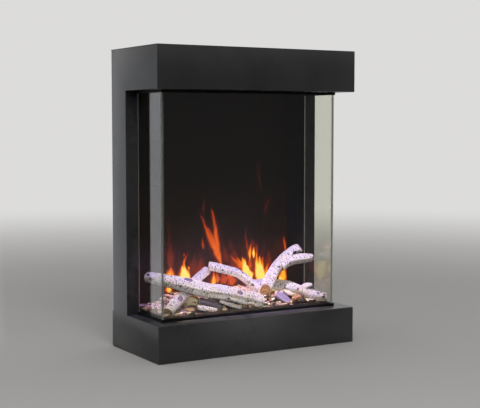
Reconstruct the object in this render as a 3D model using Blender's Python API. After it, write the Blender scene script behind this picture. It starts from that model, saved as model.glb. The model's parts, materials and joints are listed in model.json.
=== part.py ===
# Three-sided electric fireplace, in metres: +X to its right, +Y into the wall, +Z up.
# The origin is the middle of its footprint, on the surface that it stands on.
# A black steel surround holds a glass box with a bed of birch logs in front of a flame screen.
# The heater sits in the hood, and the rod that makes the flames move sits in the plinth.

import math

import bmesh
import bpy
from mathutils import Matrix, Vector

# Overall size
WIDTH = 0.520
DEPTH = 0.246
HEIGHT = 0.695
HOOD_HEIGHT = 0.096
PLINTH_HEIGHT = 0.084

# Sheet metal, gaps and cutters
SHEET = 0.0015
THIN_SHEET = 0.001
FOLD_RADIUS = 0.002
FOLD_STEPS = 3
FOLD_LIMIT = math.radians(20)
GAP = 0.0003
OVERLAP = 0.0005
OVERRUN = 0.002
FLAT = math.radians(0.5)

# Surround
POST_DEPTH = 0.082
POST_RETURN = 0.030
REAR_STEP = 0.006
BACK_INSET = 0.003
BACK_FLANGE = 0.016
LIP_HEIGHT = 0.016
LIP_INSET = 0.006
SHELF_LIP = 0.002

# Glass and its channels
GLASS = 0.004
GLASS_SIDE_INSET = 0.030
GLASS_FRONT_INSET = 0.041
CHANNEL_WALL = 0.0017
CHANNEL_HEIGHT = 0.006
CHANNEL_FLOOR = 0.0017
SEAL = 0.002

# Flame screen and inner walls
SCREEN_REAR_GAP = 0.023
SCREEN = 0.003
SCREEN_SIDE_INSET = 0.048
WALL_LIP_START = 0.012
WALL_LIP_END = 0.0345

# Bed tray and the bed of chips
TRAY_SIDE_INSET = 0.039
TRAY_FRONT_INSET = 0.050
TRAY_SCREEN_GAP = 0.009
TRAY_TAPER = 0.012
TRAY_BOTTOM = 0.064
TRAY_CLEARANCE = 0.001
TRAY_RIM = 0.0024
TRAY_RIM_THICKNESS = 0.0012
BED_PROUD = 0.004
BED_RISE = 0.025
BED_SLOPE_START = 0.016
BED_SLOPE_RUN = 0.030
BED_LEFT_START = 0.082
BED_LEFT_RUN = 0.060
BED_RIGHT_START = 0.024
BED_RIGHT_RUN = 0.070
BED_RIPPLE = 0.0014
BED_RIPPLE_LENGTH = 0.011
BED_COLUMNS = 30
BED_ROWS = 12

# Logs: how high they reach above the bed's rim, and the radius of each at its thickest
PILE_HEIGHT = 0.140
LONG_LOG_RADIUS = 0.0180
PROP_LOG_RADIUS = 0.0135
MIDDLE_LOG_RADIUS = 0.0136
FORKED_LOG_RADIUS = 0.0150
FORK_BRANCH_RADIUS = 0.0134
LOW_LOG_RADIUS = 0.0146
LOW_LOG_STUB_RADIUS = 0.0072
SPLIT_LOG_RADIUS = 0.0112
DRIFTWOOD_RADIUS = 0.0096
BARK_RADIUS = 0.0126
LONG_STICK_RADIUS = 0.0044
SHORT_STICK_RADIUS = 0.0062
SMALL_LOG_RADIUS = 0.0069
LOG_SIDES = 12
CHUNK_SIDES = 7
LOG_STEPS = 3
LOG_OVAL_SHARE = 0.05
CHUNK_OVAL_SHARE = 0.22
LOG_END_SHARE = 0.84

# Air outlet in the hood's underside, and the blower above it
OUTLET_SIDE_INSET = 0.086
OUTLET_LENGTH = 0.188
OUTLET_WIDTH = 0.022
LEDGE_MIDDLE = 0.020
GRILLE_THICKNESS = 0.003
GRILLE_BAR = 0.003
GRILLE_RIM = 0.003
GRILLE_SLOTS = 10
BLOWER_SETBACK = 0.062
BLOWER_RISE = 0.053
WHEEL_RADIUS = 0.020
WHEEL_DISC = 0.0015
WHEEL_BLADES = 16
BLADE = 0.0009
BLADE_DEPTH = 0.0042
BLADE_INSET = 0.0007
BLADE_TURN = math.radians(32)
WHEEL_END_GAP = 0.002
SHAFT_RADIUS = 0.003
SHAFT_STUB = 0.003
SHAFT_IN_MOTOR = 0.009
SCROLL_RADIUS = 0.024
SCROLL_END = math.radians(60)
SCROLL_STEPS = 12
HOUSING_END = 0.0012
HOUSING_FRONT = 0.006
HOUSING_REAR = 0.090
HOUSING_TOP = 0.080
DUCT_FRONT = 0.008
DUCT_REAR = 0.032
TONGUE_RISE = 0.046
TONGUE_TIP_SETBACK = 0.042
TONGUE_TIP_RISE = 0.0645
BLOWER_MOTOR_RADIUS = 0.020
BLOWER_MOTOR_LENGTH = 0.036
MOTOR_CHAMFER = 0.003
MOTOR_BOSS_RADIUS = 0.008
MOTOR_BOSS = 0.003
CUTOUT_RADIUS = 0.008
CUTOUT_LENGTH = 0.006
CUTOUT_SETBACK = 0.076
CUTOUT_RISE = 0.066
HEATER_FRONT = 0.0105
HEATER_REAR = 0.035
HEATER_BOTTOM = 0.013
HEATER_TOP = 0.023
HEATER_SLOTS = 14
HEATER_FIN = 0.004
HEATER_RIM = 0.003

# Log light in the hood's underside
LIGHT_SIDE_INSET = 0.070
LIGHT_SETBACK = 0.102
LIGHT_SLOT_WIDTH = 0.010
LENS_FLANGE = 0.0023
LENS_FLANGE_THICKNESS = 0.0012
LENS_GROOVE_WIDTH = 0.006
LENS_FLOOR = 0.001
BOARD = 0.0016
DIE = 0.003
DIE_HEIGHT = 0.0012
LOG_LIGHT_DIES = 12

# Flame lights, flicker rod and its motor in the plinth
ROD_REAR_GAP = 0.018
ROD_RISE = 0.050
ROD_LEFT_INSET = 0.060
ROD_RIGHT_INSET = 0.095
ROD_RADIUS = 0.0025
VANE_RADIUS = 0.0085
VANE_LENGTH = 0.016
VANE = 0.0008
VANES = 15
VANE_TWIST = math.radians(52)
BEARING_WIDTH = 0.022
BEARING_HEIGHT = 0.060
BEARING_FOOT = 0.014
ROD_MOTOR_RADIUS = 0.0150
ROD_MOTOR_LENGTH = 0.022
BRACKET_INSET = 0.010
BRACKET_ROD_GAP = 0.024
BRACKET_HEIGHT = 0.062
BRACKET_FOOT = 0.016
FLAME_BOARD_BOTTOM = 0.040
FLAME_BOARD_TOP = 0.060
FLAME_DIES = 12
EMBER_INSET = 0.061
EMBER_TRAY_INSET = 0.050
EMBER_WIDTH = 0.020
EMBER_DIES = 8

# Power supply in the hood
SUPPLY_SIDE_INSET = 0.060
SUPPLY_LENGTH = 0.100
SUPPLY_REAR_GAP = 0.050
SUPPLY_WIDTH = 0.050
SUPPLY_HEIGHT = 0.026
SUPPLY_BEVEL = 0.002

# Controls in the hood's underside
PANEL_SIDE_INSET = 0.040
PANEL_LENGTH = 0.110
PANEL_WIDTH = 0.024
PANEL_THICKNESS = 0.0035
PANEL_FLANGE = 0.002
POST_RADIUS = 0.0022
POST_INSET = 0.0045
BOARD_RISE = 0.014
SWITCH_SIZE = 0.006
SWITCH_HEIGHT = 0.003
ROCKER_OFFSET = -0.036
FLAME_BUTTON_OFFSET = -0.010
HEAT_BUTTON_OFFSET = 0.008
TIMER_BUTTON_OFFSET = 0.026
RECEIVER_OFFSET = 0.042
BUTTON_RADIUS = 0.004
BUTTON_PROUD = 0.0014
BUTTON_EDGE = 0.0005
BUTTON_COLLAR = 0.0013
BUTTON_COLLAR_THICKNESS = 0.001
BUTTON_STEM_RADIUS = 0.002
BUTTON_TRAVEL = 0.0015
ROCKER_FRAME_LENGTH = 0.020
ROCKER_FRAME_WIDTH = 0.014
ROCKER_FRAME_PROUD = 0.0006
ROCKER_FRAME_RISE = 0.012
ROCKER_CAVITY_LENGTH = 0.0174
ROCKER_CAVITY_WIDTH = 0.011
ROCKER_CAVITY_RISE = 0.0095
ROCKER_LENGTH = 0.016
ROCKER_THICKNESS = 0.005
ROCKER_RISE = 0.0026
ROCKER_PIN_RADIUS = 0.0012
ROCKER_PIN = 0.0008
ROCKER_TILT = math.radians(7)
RECEIVER_RADIUS = 0.003
RECEIVER_COLLAR = 0.0012

# Back panel: air slots, keyholes, gland and screws
SLOT_SIDE_INSET = 0.076
SLOT_BAR = 0.012
SLOT_WIDTH = 0.004
SLOT_COLUMNS = 8
HOOD_SLOT_RISES = (0.030, 0.042, 0.054)
PLINTH_SLOT_RISES = (0.072,)
KEYHOLE_SIDE_INSET = 0.110
KEYHOLE_DROP = 0.140
KEYHOLE_RADIUS = 0.005
KEYHOLE_NECK_RADIUS = 0.0026
KEYHOLE_NECK = 0.011
GLAND_SIDE_INSET = 0.035
GLAND_RISE = 0.045
GLAND_RADIUS = 0.0077
GLAND_BORE = 0.0045
GLAND_FLANGE = 0.003
GLAND_FLANGE_THICKNESS = 0.003
SCREW_SIDE_INSET = 0.030
SCREW_EDGE = 0.008
SCREW_HEAD_RADIUS = 0.0036
SCREW_HEAD = 0.0013
SCREW_RADIUS = 0.0018
SCREW_LENGTH = 0.009

# Faces that other pieces follow
LEFT = -WIDTH / 2
FRONT = -DEPTH / 2
BACK = DEPTH / 2
HOOD_BOTTOM = HEIGHT - HOOD_HEIGHT
HOOD_FLOOR = HOOD_BOTTOM + SHEET + GAP
INNER_HALF_WIDTH = WIDTH / 2 - SHEET - GAP
POST_FRONT = BACK - POST_DEPTH
REAR_LIP = BACK - SHEET - GAP
SCREEN_FRONT = BACK - SCREEN_REAR_GAP
SHELF_END = SCREEN_FRONT + SCREEN + SHELF_LIP
SHELF_TOP = PLINTH_HEIGHT + GAP
SOFFIT = HOOD_BOTTOM - GAP
CHANNEL_TOP = SHELF_TOP + CHANNEL_HEIGHT
GLASS_FRONT = FRONT + GLASS_FRONT_INSET
GLASS_HALF_WIDTH = WIDTH / 2 - GLASS_SIDE_INSET
GLASS_BOTTOM = SHELF_TOP + CHANNEL_FLOOR + GAP
GLASS_TOP = SOFFIT - CHANNEL_FLOOR - GAP
GLASS_REAR = POST_FRONT - GAP
TRAY_HALF_WIDTH = WIDTH / 2 - TRAY_SIDE_INSET
TRAY_FRONT = FRONT + TRAY_FRONT_INSET
TRAY_REAR = SCREEN_FRONT - TRAY_SCREEN_GAP
BED_TOP = CHANNEL_TOP + BED_PROUD
LEDGE_Y = FRONT + LEDGE_MIDDLE
OUTLET_X = LEFT + OUTLET_SIDE_INSET + OUTLET_LENGTH / 2
PANEL_X = -LEFT - PANEL_SIDE_INSET - PANEL_LENGTH / 2
BLOWER_LEFT = OUTLET_X - OUTLET_LENGTH / 2 - HOUSING_END
BLOWER_RIGHT = OUTLET_X + OUTLET_LENGTH / 2 + HOUSING_END
BLOWER_Y = FRONT + BLOWER_SETBACK
BLOWER_Z = HOOD_BOTTOM + BLOWER_RISE
LIGHT_Y = FRONT + LIGHT_SETBACK
LIGHT_LENGTH = WIDTH - 2 * LIGHT_SIDE_INSET
ROD_Y = BACK - ROD_REAR_GAP
ROD_LEFT = LEFT + ROD_LEFT_INSET
ROD_RIGHT = -LEFT - ROD_RIGHT_INSET
BRACKET_FACE = ROD_Y - BRACKET_ROD_GAP
SCREW_X = WIDTH / 2 - SCREW_SIDE_INSET
KEYHOLE_X = WIDTH / 2 - KEYHOLE_SIDE_INSET
GLAND_X = WIDTH / 2 - GLAND_SIDE_INSET
SLOT_PITCH = (WIDTH - 2 * SLOT_SIDE_INSET) / SLOT_COLUMNS
SLOT_LENGTH = SLOT_PITCH - SLOT_BAR
BASE_TOP = SHEET + GAP
PANEL_TOP = HOOD_BOTTOM + PANEL_THICKNESS

# The space that the logs lie in: shares run across it, from its front to its screen, and up
CHAMBER_LOW = Vector((GLASS - GLASS_HALF_WIDTH, GLASS_FRONT + GLASS, BED_TOP))
CHAMBER_HIGH = Vector((GLASS_HALF_WIDTH - GLASS, SCREEN_FRONT, BED_TOP + PILE_HEIGHT))

# Routes of the logs, as shares of that space, each with its thickness as a share of its radius
LONG_LOG_SHARES = (
    (0.032, 0.600, 0.548, 0.68), (0.060, 0.480, 0.537, 0.72), (0.090, 0.390, 0.512, 0.76),
    (0.133, 0.309, 0.476, 0.84), (0.185, 0.240, 0.425, 0.92), (0.252, 0.190, 0.360, 0.95),
    (0.389, 0.140, 0.267, 0.93), (0.525, 0.122, 0.148, 0.95), (0.588, 0.114, 0.079, 0.92),
)
PROP_LOG_SHARES = (
    (0.039, 0.076, 0.057, 0.96), (0.108, 0.185, 0.180, 0.98), (0.181, 0.303, 0.291, 0.93),
    (0.269, 0.438, 0.457, 0.84), (0.360, 0.545, 0.595, 0.81),
)
MIDDLE_LOG_SHARES = (
    (0.351, 0.444, 0.686, 0.83), (0.392, 0.438, 0.659, 0.80), (0.450, 0.424, 0.605, 0.78),
    (0.517, 0.404, 0.533, 0.78), (0.565, 0.388, 0.417, 0.77), (0.607, 0.382, 0.306, 0.82),
    (0.630, 0.376, 0.219, 0.82),
)
FORKED_LOG_SHARES = (
    (0.643, 0.230, 0.234, 0.96), (0.674, 0.287, 0.337, 0.94), (0.706, 0.326, 0.465, 0.91),
    (0.731, 0.343, 0.564, 0.88), (0.757, 0.348, 0.652, 0.86), (0.796, 0.360, 0.754, 0.81),
    (0.840, 0.382, 0.837, 0.75), (0.878, 0.404, 0.885, 0.71), (0.909, 0.421, 0.898, 0.66),
)
FORK_BRANCH_SHARES = (
    (0.763, 0.346, 0.616, 0.85), (0.797, 0.340, 0.673, 0.97), (0.832, 0.340, 0.706, 1.00),
    (0.887, 0.354, 0.717, 0.96), (0.936, 0.376, 0.717, 0.88), (0.977, 0.399, 0.711, 0.76),
)
LOW_LOG_SHARES = (
    (0.650, 0.545, 0.287, 0.82), (0.702, 0.522, 0.289, 0.87), (0.744, 0.466, 0.284, 0.91),
    (0.776, 0.388, 0.268, 0.96), (0.806, 0.303, 0.246, 1.00), (0.858, 0.219, 0.178, 0.96),
    (0.921, 0.149, 0.100, 0.86), (0.984, 0.090, 0.052, 0.79),
)
LOW_LOG_STUB_SHARES = ((0.868, 0.213, 0.213, 0.90), (0.894, 0.202, 0.261, 0.96), (0.924, 0.185, 0.279, 0.60))
SPLIT_LOG_SHARES = ((0.693, 0.154, 0.181, 0.88), (0.724, 0.121, 0.104, 1.00), (0.756, 0.098, 0.026, 0.84))
DRIFTWOOD_SHARES = ((0.241, 0.208, 0.169, 0.82), (0.297, 0.180, 0.120, 1.00), (0.352, 0.155, 0.062, 0.76))
BARK_SHARES = ((0.176, 0.326, 0.177, 0.74), (0.203, 0.275, 0.152, 0.94), (0.231, 0.230, 0.126, 0.76))
LONG_STICK_SHARES = ((0.338, 0.106, 0.160, 0.72), (0.400, 0.084, 0.086, 1.00), (0.458, 0.064, 0.024, 0.88))
SHORT_STICK_SHARES = ((0.210, 0.112, 0.096, 0.82), (0.262, 0.087, 0.052, 1.00), (0.314, 0.070, 0.018, 0.72))
SMALL_LOG_SHARES = ((0.785, 0.101, 0.062, 0.96), (0.820, 0.146, 0.074, 1.00), (0.849, 0.191, 0.083, 0.90))

# Logs that lie on another log, each followed by the log that it is notched for
RESTS = (
    ("long_log", "prop_log"), ("middle_log", "prop_log"), ("middle_log", "long_log"),
    ("middle_log", "forked_log"), ("bark_chunk", "prop_log"), ("driftwood_chunk", "bark_chunk"), ("small_log", "low_log"),
)

# Finish of each material: colour, roughness, metallic
FINISHES = {
    "black_powder_coat": ((0.028, 0.028, 0.031), 0.45, 0.0),
    "matt_black_liner": ((0.006, 0.006, 0.007), 0.75, 0.0),
    "clear_glass": ((0.90, 0.95, 0.92), 0.03, 0.0),
    "smoked_screen": ((0.012, 0.009, 0.009), 0.25, 0.0),
    "clear_seal": ((0.60, 0.66, 0.63), 0.40, 0.0),
    "birch_bark": ((0.78, 0.74, 0.70), 0.80, 0.0),
    "grey_driftwood": ((0.22, 0.19, 0.20), 0.85, 0.0),
    "tan_bark": ((0.55, 0.42, 0.28), 0.85, 0.0),
    "brown_bark": ((0.20, 0.12, 0.07), 0.85, 0.0),
    "bark_chips": ((0.38, 0.28, 0.18), 0.90, 0.0),
    "galvanised_steel": ((0.55, 0.56, 0.58), 0.40, 1.0),
    "bright_steel": ((0.75, 0.75, 0.76), 0.20, 1.0),
    "black_plastic": ((0.02, 0.02, 0.02), 0.50, 0.0),
    "grey_plastic": ((0.30, 0.31, 0.32), 0.50, 0.0),
    "circuit_board": ((0.04, 0.20, 0.09), 0.45, 0.0),
    "white_lens": ((0.90, 0.90, 0.92), 0.30, 0.0),
    "heater_ceramic": ((0.62, 0.58, 0.52), 0.60, 0.0),
    "dark_window": ((0.05, 0.01, 0.02), 0.10, 0.0),
    "black_rubber": ((0.015, 0.015, 0.015), 0.80, 0.0),
}

PLACES = {
    "X": lambda along, first, second: Vector((along, first, second)),
    "Y": lambda along, first, second: Vector((first, along, second)),
    "Z": lambda along, first, second: Vector((first, second, along)),
}


def clear_scene():
    """Empties the scene of what it starts with."""
    for thing in list(bpy.data.objects):
        bpy.data.objects.remove(thing, do_unlink=True)


def finish_material(name):
    """The material of a finish, made the first time that it is asked for."""
    if name in bpy.data.materials:
        return bpy.data.materials[name]
    colour, roughness, metallic = FINISHES[name]
    material = bpy.data.materials.new(name)
    material.use_nodes = True
    shader = material.node_tree.nodes["Principled BSDF"]
    shader.inputs["Base Color"].default_value = (*colour, 1)
    shader.inputs["Roughness"].default_value = roughness
    shader.inputs["Metallic"].default_value = metallic
    material.diffuse_color = (*colour, 1)
    return material


def node(name, shape, finish, origin=None, round_piece=False):
    """An object made of a shape, with its origin on its joint's axis where it has one."""
    if origin is not None:
        bmesh.ops.translate(shape, vec=-origin, verts=shape.verts)
    mesh = bpy.data.meshes.new(name)
    shape.to_mesh(mesh)
    shape.free()
    if round_piece:
        mesh.shade_smooth()
        mesh.set_sharp_from_angle(angle=math.radians(35))
    piece = bpy.data.objects.new(name, mesh)
    if origin is not None:
        piece.location = origin
    if finish:
        mesh.materials.append(finish_material(finish))
    bpy.context.scene.collection.objects.link(piece)
    return piece


def combine(piece, shape, operation):
    """Cuts a shape out of a piece, or joins it on, with a hidden helper."""
    helper = node(f"{piece.name}_helper_{len(piece.modifiers)}", shape, None)
    helper.hide_render = True
    helper.display_type = "WIRE"
    modifier = piece.modifiers.new(helper.name, "BOOLEAN")
    modifier.operation = operation
    modifier.solver = "EXACT"
    modifier.object = helper


def cut(piece, shape):
    """Cuts a shape out of a piece."""
    combine(piece, shape, "DIFFERENCE")


def join(piece, shape):
    """Joins a shape to a piece, which stays one body."""
    combine(piece, shape, "UNION")


def bridge(shape, rings, closed_loop):
    """Faces between neighbouring rings, with a cap on each end or round again to the first."""
    pairs = list(zip(rings, rings[1:]))
    if closed_loop:
        pairs.append((rings[-1], rings[0]))
    for near, far in pairs:
        for i in range(len(near)):
            shape.faces.new((near[i - 1], near[i], far[i], far[i - 1]))
    if not closed_loop:
        shape.faces.new(rings[0])
        shape.faces.new(rings[-1])


def prism(outline, axis, start, end, shape=None):
    """A bar with a given outline that runs along an axis, added to a shape or on its own."""
    shape = shape or bmesh.new()
    place = PLACES[axis]
    rings = [[shape.verts.new(place(along, *corner)) for corner in outline] for along in (start, end)]
    bridge(shape, rings, False)
    bmesh.ops.recalc_face_normals(shape, faces=shape.faces)
    return shape


def box(low, high, shape=None):
    """A block between two corners, in either order along each axis."""
    outline = ((low[0], low[1]), (high[0], low[1]), (high[0], high[1]), (low[0], high[1]))
    return prism(outline, "Z", low[2], high[2], shape)


def turned(profile, axis, centre, sides, shape=None, hollow=False):
    """A round piece on an axis. Its profile gives places along the axis with their radii."""
    shape = shape or bmesh.new()
    turn = 2 * math.pi / sides
    rings = []
    for along, radius in profile:
        corners = [(radius * math.cos(turn * i), radius * math.sin(turn * i)) for i in range(sides)]
        rings.append([shape.verts.new(centre + PLACES[axis](along, *corner)) for corner in corners])
    bridge(shape, rings, hollow)
    bmesh.ops.recalc_face_normals(shape, faces=shape.faces)
    return shape


def rounded_corner(before, corner, after, radius):
    """Points of the arc that rounds a corner of a folded sheet."""
    arriving = (corner - before).normalized()
    leaving = (after - corner).normalized()
    turn = arriving.angle_signed(leaving) * -1
    if abs(turn) < FOLD_LIMIT:
        return [corner]
    reach = radius * math.tan(abs(turn) / 2)
    start = corner - arriving * reach
    side = Vector((-arriving.y, arriving.x)) * math.copysign(radius, turn)
    centre = start + side
    return [centre + Matrix.Rotation(turn * i / FOLD_STEPS, 2) @ -side for i in range(FOLD_STEPS + 1)]


def sheet_outline(corners, thickness, radius=FOLD_RADIUS):
    """Outline of a folded sheet, given the corners of one face. Its wall lies to the left of the way they run."""
    corners = [Vector(corner) for corner in corners]
    face = [corners[0]]
    for before, corner, after in zip(corners, corners[1:], corners[2:]):
        face += rounded_corner(before, corner, after, radius)
    face.append(corners[-1])
    back = []
    for i, point in enumerate(face):
        arriving = (point - face[max(i - 1, 0)]).normalized() if i else (face[1] - point).normalized()
        leaving = (face[i + 1] - point).normalized() if i + 1 < len(face) else arriving
        middle = (arriving + leaving).normalized()
        normal = Vector((-middle.y, middle.x))
        back.append(point + normal * thickness / middle.dot(arriving))
    return [tuple(point) for point in face + back[::-1]]


def smooth_step(share):
    """Eases from 0 to 1 as a share goes from 0 to 1."""
    share = min(max(share, 0), 1)
    return share * share * (3 - 2 * share)


def chamber_point(shares):
    """A place among the logs, from its shares across, back and up."""
    size = CHAMBER_HIGH - CHAMBER_LOW
    return CHAMBER_LOW + Vector([share * side for share, side in zip(shares, size)])


def smooth_route(shares, radius):
    """Points and radii along a smooth curve through a log's route."""
    knots = [(chamber_point(row[:3]), row[3] * radius) for row in shares]
    route = []
    for i in range(len(knots) - 1):
        around = [knots[max(i - 1, 0)], knots[i], knots[i + 1], knots[min(i + 2, len(knots) - 1)]]
        for step in range(LOG_STEPS):
            share = step / LOG_STEPS
            route.append(tuple(curve_between(*[knot[part] for knot in around], share) for part in (0, 1)))
    route.append(knots[-1])
    return route


def curve_between(before, start, end, after, share):
    """A value on the smooth curve from start to end that also heeds the values around them."""
    slope_in = (end - before) / 2
    slope_out = (after - start) / 2
    square = share * share
    cube = square * share
    return (
        start * (2 * cube - 3 * square + 1) + end * (3 * square - 2 * cube)
        + slope_in * (cube - 2 * square + share) + slope_out * (cube - square)
    )


def log_shape(shares, radius, sides=LOG_SIDES, oval=LOG_OVAL_SHARE, grow=0.0):
    """A log along its route, slightly out of round, with its ends sawn off. Grown, it is the hollow that it lies in."""
    route = smooth_route(shares, radius)
    points = [point for point, _ in route]
    ways = [(points[min(i + 1, len(points) - 1)] - points[max(i - 1, 0)]).normalized() for i in range(len(points))]
    sawn = LOG_END_SHARE * radius
    stations = [(points[0] - ways[0] * grow, ways[0], route[0][1] * LOG_END_SHARE)]
    inset = (radius - sawn) / 2
    stations.append((points[0] + ways[0] * inset, ways[0], route[0][1]))
    stations += [(point, way, size) for (point, size), way in list(zip(route, ways))[1:-1]]
    stations.append((points[-1] - ways[-1] * inset, ways[-1], route[-1][1]))
    stations.append((points[-1] + ways[-1] * grow, ways[-1], route[-1][1] * LOG_END_SHARE))
    shape = bmesh.new()
    rings = []
    for point, way, size in stations:
        across = way.cross(Vector((0, 0, 1))).normalized()
        up = across.cross(way)
        ring = []
        for i in range(sides):
            angle = 2 * math.pi * i / sides
            reach = size * (1 + oval * math.cos(2 * angle + len(shares)) / 2 + oval * math.cos(3 * angle) / 2) + grow
            ring.append(shape.verts.new(point + across * reach * math.cos(angle) + up * reach * math.sin(angle)))
        rings.append(ring)
    bridge(shape, rings, False)
    bmesh.ops.recalc_face_normals(shape, faces=shape.faces)
    return shape


def hood_shell():
    """The hood's front and underside, one folded sheet with the openings in the underside."""
    corners = ((FRONT, HEIGHT), (FRONT, HOOD_BOTTOM), (SHELF_END, HOOD_BOTTOM))
    piece = node("hood_shell", prism(sheet_outline(corners, SHEET), "X", LEFT, -LEFT), "black_powder_coat")
    openings = side_clearances(HOOD_BOTTOM)
    below = HOOD_BOTTOM - OVERRUN
    above = HOOD_BOTTOM + SHEET + OVERRUN
    for x, length, y, width in (
        (OUTLET_X, OUTLET_LENGTH, LEDGE_Y, OUTLET_WIDTH),
        (PANEL_X, PANEL_LENGTH, LEDGE_Y, PANEL_WIDTH),
        (0, LIGHT_LENGTH, LIGHT_Y, LIGHT_SLOT_WIDTH),
    ):
        box((x - length / 2, y - width / 2, below), (x + length / 2, y + width / 2, above), openings)
    cut(piece, openings)


def side_clearances(level):
    """What comes off both ends of a shelf, so that it fits between the side panels."""
    shape = bmesh.new()
    for side in (-1, 1):
        low = (side * INNER_HALF_WIDTH, FRONT + SHEET, level - HOOD_HEIGHT)
        high = (side * (WIDTH / 2 + OVERRUN), BACK, level + HOOD_HEIGHT + OVERRUN)
        box(low, high, shape)
    return shape


def plinth_shell():
    """The plinth's front and the ledge on top, one folded sheet with the opening for the bed tray."""
    corners = ((SHELF_END, PLINTH_HEIGHT), (FRONT, PLINTH_HEIGHT), (FRONT, 0))
    piece = node("plinth_shell", prism(sheet_outline(corners, SHEET), "X", LEFT, -LEFT), "black_powder_coat")
    openings = side_clearances(PLINTH_HEIGHT)
    cut(piece, openings)
    cut(piece, tray_block(TRAY_CLEARANCE, PLINTH_HEIGHT - SHEET - OVERRUN, PLINTH_HEIGHT + OVERRUN))


def side_panel(name, side):
    """A C-shaped side of the surround, with the return that faces front on its post."""
    front = FRONT + SHEET + GAP
    top = HEIGHT - SHEET - GAP
    rear = BACK - REAR_STEP
    outline = (
        (front, BASE_TOP), (BACK, BASE_TOP), (BACK, PLINTH_HEIGHT), (rear, PLINTH_HEIGHT), (rear, top),
        (front, top), (front, HOOD_BOTTOM), (POST_FRONT, HOOD_BOTTOM), (POST_FRONT, PLINTH_HEIGHT),
        (front, PLINTH_HEIGHT),
    )
    outer = side * WIDTH / 2
    piece = node(name, prism(outline, "X", outer, outer - side * SHEET), "black_powder_coat")
    low = (outer - side * OVERLAP, POST_FRONT, SHELF_TOP)
    high = (outer - side * POST_RETURN, POST_FRONT + SHEET, SOFFIT)
    join(piece, box(low, high))


def end_plate(name, face, inside):
    """The top or base of the surround, with a rear lip that the back panel screws to."""
    lip = face + inside * LIP_HEIGHT
    corners = ((REAR_LIP, lip), (REAR_LIP, face), (FRONT + SHEET + GAP, face))
    outline = sheet_outline(corners, -inside * SHEET)
    piece = node(name, prism(outline, "X", LEFT, -LEFT), "black_powder_coat")
    trims = bmesh.new()
    for side in (-1, 1):
        low = (side * (WIDTH / 2 - LIP_INSET), REAR_LIP - SHEET - FOLD_RADIUS, face + inside * SHEET)
        high = (side * (WIDTH / 2 + OVERRUN), REAR_LIP + OVERRUN, lip + inside * OVERRUN)
        box(low, high, trims)
    for x in (-SCREW_X, SCREW_X):
        centre = Vector((x, 0, face + inside * SCREW_EDGE))
        reach = ((REAR_LIP - SHEET - OVERRUN, SCREW_RADIUS + GAP), (REAR_LIP + OVERRUN, SCREW_RADIUS + GAP))
        turned(reach, "Y", centre, LOG_SIDES, trims)
    cut(piece, trims)


def keyhole_outline(x, z):
    """Outline of a keyhole: a round hole with a narrow neck above it."""
    points = []
    meet = math.asin(KEYHOLE_NECK_RADIUS / KEYHOLE_RADIUS)
    span = 2 * (math.pi - meet)
    for i in range(LOG_SIDES + 1):
        angle = math.pi / 2 + meet + span * i / LOG_SIDES
        points.append((x + KEYHOLE_RADIUS * math.cos(angle), z + KEYHOLE_RADIUS * math.sin(angle)))
    for i in range(FOLD_STEPS + 3):
        angle = math.pi * i / (FOLD_STEPS + 2)
        neck_z = z + KEYHOLE_NECK + KEYHOLE_NECK_RADIUS * math.sin(angle)
        points.append((x + KEYHOLE_NECK_RADIUS * math.cos(angle), neck_z))
    return points


def screw_places():
    """The middle of each back panel screw."""
    return [Vector((x, 0, z)) for z in (SCREW_EDGE, HEIGHT - SCREW_EDGE) for x in (-SCREW_X, SCREW_X)]


def screw_profile(grow, head_grow):
    """Profile of a countersunk screw, or of the hole that it sits in."""
    shank = SCREW_RADIUS + grow
    return (
        (BACK - SCREW_LENGTH - grow, shank),
        (BACK - SCREW_HEAD - GAP, shank),
        (BACK - GAP, SCREW_HEAD_RADIUS + grow),
        (BACK - GAP + head_grow, SCREW_HEAD_RADIUS + grow + head_grow),
    )


def back_panel():
    """The rear pan, with air slots, keyholes, the gland's hole and countersunk screw holes."""
    half = WIDTH / 2 - BACK_INSET
    corners = ((half, BACK - BACK_FLANGE), (half, BACK), (-half, BACK), (-half, BACK - BACK_FLANGE))
    piece = node("back_panel", prism(sheet_outline(corners, SHEET), "Z", 0, HEIGHT), "black_powder_coat")
    openings = bmesh.new()
    for low, high in ((-OVERRUN, BASE_TOP), (HEIGHT - BASE_TOP, HEIGHT + OVERRUN)):
        for side in (-1, 1):
            flange = side * (half - SHEET - FOLD_RADIUS)
            box((flange, BACK - BACK_FLANGE - OVERRUN, low), (side * WIDTH, BACK - SHEET, high), openings)
    near, far = BACK - SHEET - OVERRUN, BACK + OVERRUN
    rises = [HOOD_BOTTOM + rise for rise in HOOD_SLOT_RISES] + list(PLINTH_SLOT_RISES)
    for z in rises:
        for column in range(SLOT_COLUMNS):
            x = (column - (SLOT_COLUMNS - 1) / 2) * SLOT_PITCH
            low = (x - SLOT_LENGTH / 2, near, z - SLOT_WIDTH / 2)
            box(low, (x + SLOT_LENGTH / 2, far, z + SLOT_WIDTH / 2), openings)
    for x in (-KEYHOLE_X, KEYHOLE_X):
        prism(keyhole_outline(x, HEIGHT - KEYHOLE_DROP), "Y", near, far, openings)
    gland = GLAND_RADIUS + GAP
    turned(((near, gland), (far, gland)), "Y", Vector((GLAND_X, 0, GLAND_RISE)), LOG_SIDES * 2, openings)
    cut(piece, openings)
    sinks = bmesh.new()
    for place in screw_places():
        turned(screw_profile(GAP, GAP + OVERLAP), "Y", place, LOG_SIDES, sinks)
    cut(piece, sinks)


def back_screws():
    """The four countersunk screws of the back panel."""
    for number, place in enumerate(screw_places(), 1):
        shape = turned(screw_profile(0, 0)[:3], "Y", place, LOG_SIDES)
        node(f"back_screw_{number}", shape, "bright_steel", round_piece=True)


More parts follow.
